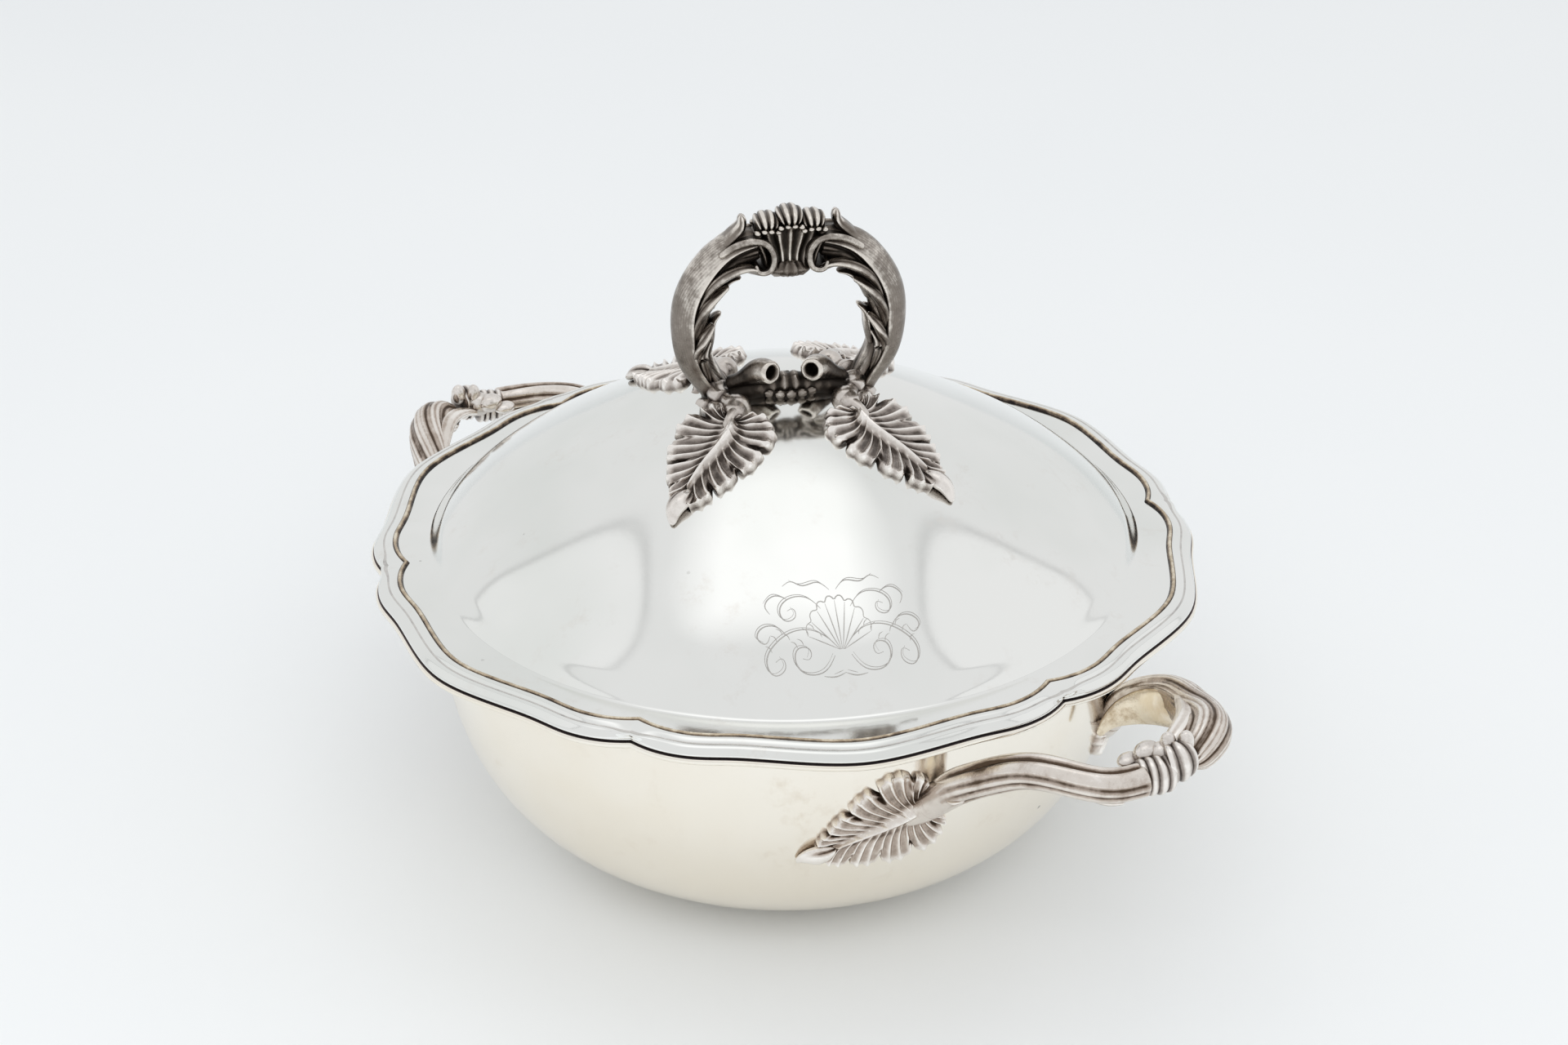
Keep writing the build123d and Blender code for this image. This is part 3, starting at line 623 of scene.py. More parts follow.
# Engraved ornament on the front of the cover: a scallop shell between scrolls, x across, y up.
ENGRAVED_AT, ENGRAVED_TURN = 93.0, -30.0
SCROLLS = [
    [(2.5, -8.5), (6.5, -12.2), (11.5, -12.0), (14.2, -8.6), (12.6, -5.4), (9.6, -6.2), (10.2, -8.6),
     (12.0, -8.2)],
    [(3.5, -4.0), (8.0, -1.2), (14.0, -0.8), (19.5, -3.2), (22.6, -7.6), (20.6, -11.0), (17.4, -9.6),
     (18.2, -7.2), (20.0, -7.8)],
    [(4.5, 4.6), (8.5, 8.4), (13.6, 8.6), (16.6, 5.4), (15.0, 2.4), (12.2, 3.4), (12.8, 5.6), (14.4, 5.2)],
    [(1.0, 9.8), (4.5, 12.4), (9.0, 12.0), (12.0, 13.6), (14.6, 12.6)],
    [(15.8, -1.4), (18.8, 1.6), (22.6, 1.8), (24.2, -0.8), (22.2, -2.6), (20.6, -0.9)],
    [(13.8, 8.4), (17.6, 10.2), (20.6, 8.0), (19.6, 5.2)],
    [(0.0, -12.8), (3.0, -13.6), (6.5, -13.2)],
]
SHELL_FOOT = -7.0           # where the engraved shell's ribs meet
BOLD, MIDDLE, FINE, FAINT = 0.17, 0.14, 0.11, 0.10      # half widths of the cut lines


def engraving_form():
    """The ornament's lines, sunk to their middles in the cover."""
    turn = math.radians(ENGRAVED_TURN)
    place = on_dome((ENGRAVED_AT * math.cos(turn), ENGRAVED_AT * math.sin(turn)), ENGRAVED_TURN + 90)
    lines = []
    for side in (1, -1):
        for line in SCROLLS:
            lines.append(([(side * x, y) for x, y in line], BOLD))
            lines.append(([(side * (x + 0.55), y + 0.6) for x, y in line[:-1]], FAINT))
        for k in range(9):
            x, y = 5.5 + 1.9 * k, -3.4 + 2.2 * math.sin(k * 1.3)
            lines.append(([(side * x, y), (side * (x + 0.7), y + 1.5), (side * (x + 1.7), y + 2.0)], FINE))
    for k in range(9):
        swing = math.radians(18 * (k - 4))
        x, rise = 9.6 * math.sin(swing), 13.5 * math.cos(swing)
        rib = [(x / 12, SHELL_FOOT), (0.55 * x, SHELL_FOOT + 0.5 * rise), (x, SHELL_FOOT + rise)]
        lines.append((rib, MIDDLE))
    edge = []
    for k in range(33):
        swing = math.radians(18 * (k / 4 - 4))
        grow = 1.0 + 0.09 * abs(math.sin(k * math.pi / 4))
        edge.append((9.9 * grow * math.sin(swing), SHELL_FOOT + 13.9 * grow * math.cos(swing)))
    lines.append((edge, BOLD))
    made = []
    for line, radius in lines:
        x, y = np.array(line).T
        radii = [radius * k for k in (0.5, 1.0, 1.2, 1.0, 0.5)]
        made.append(tube(place(x, y, np.full(len(x), -0.02)), radii, along=60, around=8))
    return joined(made)


add_piece("cover_engraving", engraving_form(), ENGRAVED, "cover_body")


# ---------------------------------------------------------------- chased work
BACK = (0, 1, 0)
LEAF_LENGTH = 41.5
LEAF_NOTCHES = (0.19, 0.40, 0.60, 0.80)     # where the lobes part, as shares of the leaf's edge
LEAF_EDGE = [(0.2, 2.6), (-2.9, 6.6), (-1.6, 12.4), (4.6, 16.2), (13.2, 15.8), (21.0, 13.0),
             (27.2, 9.6), (31.9, 6.6), (35.8, 2.8)]
LEAF_SHARES = [0, 0.08, 0.19, 0.31, 0.45, 0.60, 0.74, 0.87, 1.0]
LEAF_ROWS, LEAF_COLUMNS = 300, 50
HOOD_LINE = [(30.0, 0.7, 0.9), (33.0, 0.3, 1.9), (36.3, -0.5, 2.1), (39.4, -0.3, 1.4), (42.2, 0.8, 0.6)]


def banded(count, cut):
    """A relief of ribs round a rod, with scalloped ends underneath."""
    def relief(u, turn):
        rib = np.abs(np.sin(math.pi * count * u)) ** 0.55
        low = 0.5 - 0.5 * np.sin(turn)
        return 0.5 * rib * low ** 3 - cut * (1 - rib), 1 - rib - 0.5 * ramp(rib, 0.75, 1.0)
    return relief


def leaflet(line, widths, thick, ribs, groove, along=44, around=30, side=None, flat=1.0, tone=0.0):
    """A small chased leaf: a flat tapered tongue with grooves along it."""
    def relief(u, turn):
        ridge = np.abs(np.cos(ribs * turn)) ** 0.6
        start = ramp(u, 0.03, 0.2)
        cut = groove * (1 - ridge) * start * (1 - ramp(u, 0.86, 0.98))
        dark = ramp(1 - ridge, 0.35, 0.9) * start * (1 - ramp(u, 0.8, 0.95))
        return -cut, tone + dark - 0.5 * ramp(ridge, 0.6, 1.0) * ramp(u, 0.3, 0.8)
    return tube(lifted(line), widths, relief, along, around, side, (flat, thick), (0.6, 1.2))


def keel(u, turn):
    """The hooded tip of a leaf: a raised keel with a pinch on each side."""
    top = turn - math.pi / 2
    cut = bump(wrap(top - 0.75), 0, 0.42) * (1 - ramp(u, 0.30, 0.7))
    cut = cut + bump(wrap(top + 0.95), 0, 0.40) * (1 - ramp(u, 0.2, 0.5))
    return 0.25 * bump(wrap(top), 0, 0.6) - 0.9 * cut, np.clip(1.2 * cut, 0, 1) - 0.3 * (1 - cut)


def veined_leaf(place, length, veins, bend, depth):
    """A cast leaf with its root at the origin, pointing along X: place(x, y, height) puts it on a wall.

    Both halves have curved flutes that end in a beaded edge, gathered into lobes with an
    eyelet between each two. A smooth midrib runs down the middle in a slow double bend.
    """
    scale = length / LEAF_LENGTH
    tip = natural_spline(LEAF_SHARES, np.array(LEAF_EDGE) * scale)
    u = np.linspace(0, 1, LEAF_ROWS)
    uu, vv = np.meshgrid(u, np.linspace(0, 1, LEAF_COLUMNS) ** 0.85, indexing="ij")
    root = np.stack([
        (0.8 + 28.5 * u ** 1.85) * scale,
        bend * np.sin(u ** 1.3 * 5.4 - 0.5) * scale * (1 - 0.25 * u)], -1)
    beat = math.pi * veins * u ** 0.92
    # Shares of the midrib, of the bowed middle and of the edge, and the section between them.
    a, b, c = (1 - vv) ** 2, 2 * vv * (1 - vv), vv ** 2
    wave = (0.5 + 0.5 * np.cos(2 * beat))[:, None] * np.ones_like(vv)
    ridge = wave ** (2.6 + 1.2 * (1 - vv))
    spread = ramp(vv, 0.07, 0.30)
    dish = 0.95 + 0.35 * ramp(1 - vv, 0.75, 1.0) + 1.15 * ramp(vv, 0.30, 0.80) + 0.35 * ramp(vv, 0.80, 0.93)
    flute = (1.05 * ridge + 0.25 * wave - 0.40) * spread * (0.5 + 0.6 * vv)
    rib = 2.0 * bump(vv, 0.0, 0.175 * (1 - 0.2 * uu)) * (1 - 0.4 * uu)
    fall = np.sqrt(np.clip(1 - ramp(vv, 0.88, 1.0) ** 2, 0, 1))
    groove = (1 - wave) ** 0.8
    forms = []
    for side, shift in ((1, 0.0), (-1, 0.035)):
        notch = sum(np.exp(-(((u - k - shift) / 0.014) ** 2)) for k in LEAF_NOTCHES)
        ends = (0, *(k + shift for k in LEAF_NOTCHES), 1)
        swell = np.abs(np.sin(math.pi * np.interp(u, ends, np.arange(len(ends))))) ** 0.6
        reach = 0.95 + 0.07 * swell + 0.035 * np.abs(np.cos(beat)) ** 0.6 - 0.17 * notch
        edge = root + (tip(u) * (1, side) - root) * reach[:, None]
        bow = root + (edge - root) * (0.42, 0.44)
        bow[:, 0] += 4.2 * scale * (1 - 0.3 * u)
        x, y = (a * root[:, k, None] + b * bow[:, k, None] + c * edge[:, k, None] for k in (0, 1))
        eye = notch[:, None] * ramp(vv, 0.60, 0.84)
        z = (dish + flute * (0.4 + 0.6 * depth) + rib) * fall - 1.5 * eye
        z = np.maximum(z, 0.05) * ramp(1 - vv, -0.02, 0.03) - 0.3 * ramp(vv, 0.985, 1.0)
        # Colour: the crests, the rolled edge and the midrib are painted lighter, wear with a painted
        # highlight; the flutes, a band beside the midrib, the eyelets and the very edge are painted darker,
        # tarnish with painted shade.
        recess = (
            (0.30 + 0.55 * groove) * spread * (1 - 0.8 * ramp(vv, 0.78, 0.92)) * (1 - ridge)
            - 0.6 * ridge * spread
            + 0.65 * bump(vv, 0.25, 0.12) * (1 - 0.6 * ridge)
            + 1.1 * eye + 0.5 * ramp(vv, 0.97, 1.0)
            - 0.6 * bump(vv, 0.90, 0.11) * (1 - 0.7 * groove ** 4) - 0.75 * bump(vv, 0, 0.125))
        points = place(x.reshape(-1), y.reshape(-1), z.reshape(-1)).reshape(*x.shape, 3)
        forms.append(grid_form(points, np.clip(recess * depth, -0.6, 1)))
    line = [(x * scale, (y - bend * 0.3) * scale, z) for x, y, z in HOOD_LINE]
    hood = tube(line, [1.0, 3.0, 3.3, 2.2, 0.7], keel, 44, 36, flat=(1.0, 0.62), rounded=(1.5, 0.8))
    forms.append(hood.mapped(lambda p: place(*p.T)))
    return joined(forms)


# ---------------------------------------------------------------- ring finial
# The finial's own frame: x along the ring, y towards its back, z above the bowl's rim.
RING_TURN, RING_OFFSET = 60.0, 1.5
ARM_LINE = [(21, 50), (24, 58), (28.9, 66), (31.2, 77), (30.0, 88), (25, 97), (17.5, 103.5), (9.5, 105.5)]
ARM_RADII = [4.6, 5.0, 5.6, 6.0, 6.3, 6.5, 6.3, 4.6]
SCROLL_LINE = [(22.5, 104.2), (18, 107.2), (13, 108.6), (8.8, 107.9), (6.1, 104.9), (5.7, 101.0),
               (7.6, 98.1), (10.4, 98.4), (11.2, 100.8)]
SCROLL_EDGE, SCROLL_HALF, SCROLL_THICK = 1.1, 6.4, 0.9
# Leaves across the ring, upper and lower pair: line, widths, thickness and depth of cut.
UPPER_LEAVES = [
    ([(20.5, 106.2), (16.9, 109.8), (14.9, 112.4), (14.9, 115.4)], [4.6, 4.6, 4.0, 2.8], 0.42, 0.5),
    ([(21.5, 97.5), (16, 99.2), (11.5, 97.4), (8.4, 95.6)], [5.0, 5.4, 4.6, 2.6], 0.34, 0.6),
]
LOWER_LEAVES = [
    ([(26.0, 70), (25.0, 76.5), (24.0, 81), (21.4, 83.4)], [3.6, 4.6, 4.2, 1.8], 0.3, 0.5),
    ([(25.0, 86), (22.2, 91.5), (18.4, 94.4), (15.0, 94.6)], [4.4, 5.0, 4.2, 1.8], 0.3, 0.5),
]
# Leaves that lie along the front and the back of the arm.
FACE_LEAVES = [
    ([(29.5, 3.4, 66), (29.0, 5.0, 72), (27.4, 5.2, 77.5), (24.4, 3.4, 81.2)],
     [1.2, 2.3, 2.7, 1.3], 0.62, 0.4),
    ([(29.8, 4.0, 76), (28.4, 5.6, 84), (25.0, 5.9, 90.2), (19.6, 4.0, 93.8)],
     [1.1, 2.4, 2.9, 1.4], 0.62, 0.45),
    ([(28.8, 4.8, 86), (25.0, 6.2, 94.2), (19.0, 6.4, 99.0), (12.6, 5.4, 99.6), (8.4, 4.0, 96.6)],
     [1.1, 2.1, 2.7, 2.3, 1.2], 0.6, 0.45),
    ([(26.0, 2.6, 60), (27.4, 4.6, 66.5), (27.6, 4.8, 72), (25.4, 3.6, 75.6)],
     [1.0, 1.8, 2.0, 1.0], 0.6, 0.4),
]


def in_ring(form, sx=1, sy=1, shifted=True):
    """From the finial's frame to the object's, mirrored into a side or corner first."""
    form = form.mirrored(sx, sy)
    if shifted:
        form = form.moved((RING_OFFSET, 0, 0))
    return form.turned(RING_TURN)


def arm_relief(u, turn):
    """A smooth, hatched outer face and slanting flutes on the inner one, with a lip between.

    Turn 0 faces the back and pi the front; the arm's inner side is at +pi/2.
    """
    inward = np.sin(turn)
    edge = -0.16 + 0.22 * np.sin(u * math.pi * 1.1)
    inside = ramp(inward, edge, edge + 0.16)
    slant = np.arcsin(np.clip(np.cos(turn), -1, 1)) * 2.2 + u * 9.0 * np.sign(np.cos(turn) + 1e-9)
    ridge = np.abs(np.cos(slant)) ** 0.7
    lip = bump(inward, edge + 0.02, 0.22)
    groove = bump(inward, edge + 0.20, 0.20)
    hatch = np.sin(turn * 46 + 6 * np.sin(u * 9)) * (1 - inside) * (1 - lip)
    height = 0.45 * lip - 1.25 * groove - 0.7 * inside * (1 - ridge) + 0.015 * hatch
    # The lip and the crests of the inner flutes are painted lighter, a painted highlight; the groove and
    # the flutes between the crests darker, tarnish with painted shade.
    recess = groove + 0.8 * inside * (1 - ridge) ** 0.8 - 0.45 * lip - 0.35 * inside * ridge ** 3
    # Painted highlight: the outer face is painted lighter round the upper bend of the arm, where it faces
    # up.
    return height, recess + (0.13 * (0.5 - 0.5 * hatch) - 0.22 * bump(u, 0.72, 0.3)) * (1 - inside)


def arm_scroll():
    """The scroll of sheet at the top of the arm, with a bead along each edge."""
    made = [tube(lifted(SCROLL_LINE), [SCROLL_THICK] * 4, toned(0.35), 90, 24, BACK,
                 (SCROLL_HALF / SCROLL_THICK, 1), (1, 1))]
    radii = [SCROLL_EDGE * k for k in (0.9, 1.0, 1.0, 0.95, 0.85, 0.7)]
    for face in (-1, 1):
        bead = [(x, face * (SCROLL_HALF - 0.4 * SCROLL_EDGE), z) for x, z in SCROLL_LINE]
        made.append(tube(lifted(bead), radii, toned(-0.22), 90, 24, BACK, rounded=(1.2, 1.2)))
    return made


def ring_arm():
    """The right arm of the ring with its scroll and leaves."""
    made = [tube(lifted(ARM_LINE), ARM_RADII, arm_relief, 150, 160, BACK, (0.97, 1.0), (0, 1.0))]
    made += arm_scroll()

    def add_across(leaves):
        for line, widths, thick, cut in leaves:
            made.append(leaflet(line, widths, thick, 3, cut, side=BACK))

    add_across(UPPER_LEAVES)
    for face in (-1, 1):
        for line, widths, thick, cut in FACE_LEAVES:
            there = [(x, face * y, z) for x, y, z in line]
            made.append(leaflet(there, widths, thick, 2, cut, along=80 if len(line) > 4 else 44))
    add_across(LOWER_LEAVES)
    return joined(made)


def ring_shell():
    """The scallop shell at the top: three rolled lobes over a fluted, hollowed fan, front and back."""
    forms = []
    hh, ww = np.meshgrid(np.linspace(0, 1, 90), np.linspace(-1, 1, 120), indexing="ij")
    half = natural_spline([0, 0.12, 0.3, 0.55, 0.8, 1.0], [4.6, 6.6, 6.9, 8.6, 10.9, 11.2])(hh)
    deep = natural_spline([0, 0.12, 0.3, 0.6, 0.85, 1.0], [2.6, 4.3, 4.0, 4.4, 5.2, 5.6])(hh)
    fan = np.abs(np.cos(ww * math.pi * 3)) ** 2.2
    hollow = (1 - ramp(np.abs(ww), 0.80, 0.97)) * ramp(hh, 0.10, 0.3) * (1 - 0.35 * ramp(hh, 0.85, 1.0))
    y = deep * (1 - 0.25 * ww ** 2) - 2.0 * hollow + 0.75 * fan * hollow * (0.35 + hh)
    y = np.maximum(y * np.sqrt(np.clip(1.04 - ww ** 8, 0.001, 1)), 0.2)
    z = RIM + 95.2 + 17.0 * hh - 1.2 * (1 - hh) * (1 - np.sqrt(np.clip(1 - ww ** 2, 0, 1)))
    # The fan is painted dark between its ribs and light on them, tarnish with painted shade and a painted
    # highlight, and painted darker towards its top, painted shade under the lobes.
    recess = np.clip(hollow * (1.0 - 1.45 * fan) + 0.35 * ramp(hh, 0.8, 1.0), -0.4, 1)
    for face in (-1, 1):
        forms.append(grid_form(np.stack([half * ww, face * y, z], -1), recess))

    # The foot: a rounded, hatched cup.
    def foot_lines(la, lo):
        return 0.03 * np.cos(lo * 14), 0.55 * (0.5 - 0.5 * np.cos(lo * 14))
    forms.append(ball((0, 0, RIM + 97.4), (6.4, 4.6, 3.3), foot_lines, 96))

    # Three rolled lobes, and below each a beaded edge, its beads painted lighter as a painted highlight.
    for x, z, radius in ((-7.1, 113.3, 2.3), (7.1, 113.3, 2.3), (0, 114.8, 2.55)):
        line = [(x + k, z - 0.08 * k * k) for k in (-3.9, -2, 0, 2, 3.9)]
        radii = [radius * k for k in (0.8, 1.0, 1.06, 1.0, 0.8)]
        forms.append(tube(lifted(line), radii, banded(4, 0.55), 100, 84, BACK, (2.3, 1.0), (1.5, 1.5)))
    for x, z in ((-7.3, 111.3), (7.3, 111.3), (0, 112.6)):
        for k in (-1.5, -0.5, 0.5, 1.5):
            for face in (-1, 1):
                place = (x + 2.15 * k, face * 4.9, RIM + z - 0.35 * abs(k))
                forms.append(ball(place, (1.05, 1.2, 0.8), toned(-0.4), 18))
    for side in (-1, 1):
        line = [(7.26 * side, 97.5), (7.92 * side, 102), (9.68 * side, 107), (10.34 * side, 110.5)]
        forms.append(tube(lifted(line), [1.2, 1.3, 1.4, 1.6], PLAIN, 40, 24, BACK, (3.0, 1.0), (1, 1)))
    return joined(forms)


right_arm = ring_arm()
add_cast("ring_arm_right", in_ring(right_arm), RING_SILVER, "cover_body", "finial_arm_right")
add_cast("ring_arm_left", in_ring(right_arm, -1), RING_SILVER, "cover_body", "finial_arm_left")
add_cast("ring_shell", in_ring(ring_shell()), RING_SILVER, "cover_body", "finial_shell")

# Leaves, stems, tendrils and fan at the foot of the ring.
COVER_LEAF_ROOT, COVER_LEAF_ANGLE, COVER_LEAF_LENGTH = (18.5, 19.0), 53.0, 40.5
STEM_LINE = [(22, 2, 58), (20.5, 8, 57), (17.5, 13.5, 57), (19.5, 19.5, 55)]
STEM_RIB = [(17.2, 15.8, 57.6), (19.6, 19.4, 56.6), (22.5, 23.4, 54.0)]
STEM_FOOT = [(27.5, 3, 52.5), (24.5, 7.5, 54.3), (22, 12.5, 54.4), (22.5, 17, 53.6)]
SADDLE_LINE = [(21, 4.5, 54.5), (14, 7.0, 58.0), (6, 8.0, 60.5), (0, 8.2, 61.0), (-6, 8.0, 60.5),
               (-14, 7.0, 58.0), (-21, 4.5, 54.5)]
TENDRIL_LINE = [(17, 3.5, 60), (13.5, 7, 63.5), (9, 9.5, 66.5), (6.8, 12.5, 67.3)]
TENDRIL_ROWS, TENDRIL_AROUND = 60, 40
# Rings round the tendril's mouth: share of its radius, how far inside it, and recess, which paints the rim
# lighter, a painted highlight, and the inside of the mouth darker, painted shade.
MOUTH_RINGS = [(0.99, -0.7, -0.35), (0.89, -1.25, -0.45), (0.72, -1.4, -0.3), (0.57, -0.9, 0.35),
               (0.48, 0.5, 0.85), (0.44, 3.0, 1.0), (0.03, 3.8, 1.0)]
FAN_REACH, FAN_SWING, FAN_RIBS = 13.4, math.radians(37), 5


def knobbly(u, turn):
    crease = bump(u, 0.36, 0.05)
    return 0.35 * np.sin(u * 9 + 1.0) + 0.2 * np.sin(u * 21 + turn) - 0.5 * crease, 0.8 * crease


def cover_leaf():
    """A leaf of the cover with its knobbly stem, which divides at the ring's foot."""
    leaf = veined_leaf(on_dome(COVER_LEAF_ROOT, COVER_LEAF_ANGLE), COVER_LEAF_LENGTH, 13, 1.6, 0.85)
    stem = tube(lifted(STEM_LINE), [3.7, 3.1, 3.4, 2.7], knobbly, 60, 40, rounded=(1, 1.5))
    knob = ball((16.6, 13.6, RIM + 56.6), (3.9, 4.1, 4.3), around=36)
    rib = tube(lifted(STEM_RIB), [2.0, 1.9, 1.5], PLAIN, 30, 28, rounded=(1, 2))
    foot = tube(lifted(STEM_FOOT), [2.2, 2.6, 2.6, 1.8], knobbly, 40, 32, rounded=(1, 1.5))
    return joined([leaf, stem, knob, rib, foot])


def hollow_tendril():
    """A short tendril that ends in a rolled, hollow mouth."""
    def bark(u, turn):
        return 0.05 * np.cos(turn * 7 + u * 6), 0.75 - 0.95 * ramp(u, 0.45, 0.85) + 0 * turn

    body = tube(lifted(TENDRIL_LINE), [2.8, 2.7, 3.9, 3.7], bark, TENDRIL_ROWS, TENDRIL_AROUND)
    count = len(body.points) - 1        # the last point closed the end that is now a mouth
    faces = [f for f in body.faces if count not in f]
    spine = path(lifted(TENDRIL_LINE))
    ahead = unit(spine(1.0) - spine(0.985))
    previous = np.arange(TENDRIL_AROUND) + (TENDRIL_ROWS - 1) * TENDRIL_AROUND
    rim = body.points[previous]
    centre = rim.mean(0)
    points, recess = [body.points[:-1]], [body.recess[:-1]]
    for k, (share, inside, tone) in enumerate(MOUTH_RINGS):
        points.append(centre + (rim - centre) * share - ahead * inside)
        recess.append(np.full(TENDRIL_AROUND, tone))
        now = np.arange(TENDRIL_AROUND) + count + TENDRIL_AROUND * k
        corners = np.stack([previous, np.roll(previous, -1), np.roll(now, -1), now], -1)
        faces += [tuple(q) for q in corners.tolist()]
        previous = now
    return Form(np.vstack(points), faces, np.concatenate(recess))


def carved(u, turn):
    ridge = np.abs(np.cos(u * math.pi * 13)) ** 2.5 * bump(u, 0.5, 0.28)
    return 0.6 * ridge - 0.4, 0.95 - 1.25 * ridge


def foot_fan():
    """A small scallop fan with a beaded edge, and the dark saddle that carries it and the tendrils."""
    rr, ww = np.meshgrid(np.linspace(0.15, 1, 50), np.linspace(-1, 1, 110), indexing="ij")
    ridge = np.abs(np.cos(ww * math.pi * FAN_RIBS / 2)) ** 1.8
    reach = FAN_REACH * rr * (1 + 0.06 * ridge * rr)
    lift = 1.2 + 2.3 * (1 - rr) + 0.9 * ridge * rr + 0.9 * ramp(rr, 0.84, 0.97)
    lift = lift * np.sqrt(np.clip(1 - ramp(rr, 0.95, 1.0) ** 2, 0, 1))
    lift = lift * np.sqrt(np.clip(1 - ww ** 10, 0, 1))
    place = on_dome((0, 0), 0)
    points = place(reach * np.sin(ww * FAN_SWING), reach * np.cos(ww * FAN_SWING), lift)
    recess = np.clip(0.9 * (1 - ridge) * ramp(rr, 0.1, 0.3) + 0.4 * (1 - ramp(rr, 0.5, 0.8)), 0, 1)
    made = [grid_form(points, recess)]
    for k in range(FAN_RIBS):
        swing = FAN_SWING * (k - 2) / 2.5
        centre = place((FAN_REACH - 0.2) * np.sin(swing), (FAN_REACH - 0.2) * np.cos(swing), 1.3)
        made.append(ball(centre, (1.75, 1.3, 1.35), around=24))
    made.append(tube(lifted(SADDLE_LINE), [3.4, 3.8, 3.9, 3.9, 3.8, 3.4], carved, 120, 48, rounded=(1, 1)))
    return joined(made)


leaf = cover_leaf()
corners = {"right_back": (1, 1), "left_back": (-1, 1), "left_front": (-1, -1), "right_front": (1, -1)}
for corner, (sx, sy) in corners.items():
    add_cast("leaf_" + corner, in_ring(leaf, sx, sy, False), CAST_SILVER, "cover_body",
             "cover_leaf_" + corner)
for side, sx in (("right", 1), ("left", -1)):
    add_cast("tendril_" + side, in_ring(hollow_tendril(), sx, -1, False), RING_SILVER, "cover_body",
             "finial_tendril_" + side)
add_cast("foot_fan", in_ring(foot_fan(), 1, -1, False), RING_SILVER, "cover_body", "finial_fan")

# ---------------------------------------------------------------- side handles
SLENDER_LINE = [(98, -41.5, -40), (106.5, -34.5, -34), (117.7, -32, -22.5), (129, -28, -14.5),
                (139.6, -23.3, -9.5), (150.5, -17.4, -9.3), (159.5, -9, -10.6), (163, 1, -10.5)]
SLENDER_RADII = [3.0, 4.4, 5.0, 5.3, 5.6, 5.6, 5.6, 5.5, 5.5, 5.4, 5.3, 5.2, 5.2]
ACANTHUS_LINE = [(92, 57, -49), (100, 50, -42), (108.7, 49.5, -29), (120.5, 48.9, -20.2),
                 (132.8, 45.9, -15), (145, 40.4, -12.5), (155.1, 34.4, -9.5), (161.5, 26.5, -9),
                 (162.5, 18.5, -13.5)]
ACANTHUS_RADII = [3.0, 4.2, 4.6, 4.8, 5.2, 5.7, 6.3, 6.9, 7.3, 7.5, 7.6, 7.2, 4.8]
SEAM = 2 / 12               # where the leaf's stem is soldered to the arm
TWIG_LINE = [(116.4, -35.2, -24.5), (119.6, -34.6, -25.0), (123.4, -33.8, -23.6)]
TIP_LINE = [(151.5, -13.5, -14.2), (156.5, -9.6, -16.0), (161.0, -5.0, -16.6)]
SHEATH_LINE = [(114.0, 32.2, -32.4), (114.8, 36.6, -28.2), (119.5, 42.0, -24.0), (131.0, 42.8, -18.6),
               (143.5, 37.2, -14.2)]
CURL_LINE = [(138.5, 40.5, -9.6), (147.0, 34.0, -7.2), (153.5, 26.5, -5.6), (156.5, 18.5, -6.6),
             (157.5, 13.0, -9.0)]
FRONT_COLLAR = [(160.6, -0.6, -10.8), (162.4, 2.8, -10.7), (163.8, 6.0, -10.6), (164.6, 9.0, -10.6)]
REAR_COLLAR = [(163.4, 8.4, -8.6), (165.2, 12.2, -7.8), (165.0, 15.6, -7.6)]
BUDS = [((161.2, 11.2, -3.6), (2.5, 2.5, 3.9)), ((164.2, 15.6, -3.4), (2.6, 2.7, 3.8)),
        ((157.2, 6.8, -6.8), (3.6, 4.6, 3.4)), ((154.6, 2.4, -8.9), (3.2, 4.2, 2.0)),
        ((160.4, 9.6, -7.6), (4.2, 4.2, 4.4))]
# Grooves along the slender arm: turn from its top, how far they drift along it, width, depth and recess.
REEDS = [(-0.70, 0.45, 0.22, 0.75, 0.8), (-1.15, 0.45, 0.20, 0.45, 0.55), (-1.62, 0.45, 0.22, 0.85, 0.85),
         (-2.10, 0.45, 0.20, 0.5, 0.6), (1.35, 0, 0.24, 0.6, 0.7), (1.9, 0, 0.2, 0.6, 0.7),
         (2.5, 0, 0.2, 0.6, 0.7)]
# Leaves on the wall: side, degrees round the bowl from the handle's axis, height of the root
# above the rim, and degrees that the leaf points down.
WALL_LEAVES = (("front", (-1, 17.5, -32.0, 24.0), SLENDER_LINE, SLENDER_RADII),
               ("rear", (1, 27.0, -37.0, 20.0), ACANTHUS_LINE, ACANTHUS_RADII))


def rod_part(line, radii, first, last, relief, along, around, rounded=(0, 0)):
    """Part of a tapered rod, between two shares of its length."""
    shares = np.linspace(first, last, 15)
    size = natural_spline(np.linspace(0, 1, len(radii)), radii)(shares)
    return tube(path(lifted(line))(shares), size, relief, along, around, rounded=rounded)


def slender_relief(u, turn):
    """Long reeds with a brown groove between the upper two and finer grooves below."""
    t = wrap(turn - math.pi / 2)
    start = ramp(u, 0.08, 0.26)
    reach = start * (1 - ramp(u, 0.95, 1.0))
    deep = bump(t, 0.62 - 0.75 * u, 0.36) * reach
    fine = np.sin(t * 30) * bump(t, -1.3, 1.3) * start
    height, recess = 0.03 * fine - 1.25 * deep, 0.07 * fine + deep
    for place, drift, width, depth, dark in REEDS:
        groove = bump(t + drift * u, place, width) * reach
        height, recess = height - depth * groove, recess + dark * groove
    # Wear and a painted highlight: the top of the arm is painted lighter.
    wear_and_sheen = 0.4 * bump(t, 0.05 - 0.3 * u, 0.45) * (1 - deep)
    # Painted shadow: a dark patch on top of the arm, under the bowl's rim.
    return height, 1.2 * recess - wear_and_sheen + 1.1 * bump(u, 0.36, 0.09) * bump(t, 0.5, 0.9)


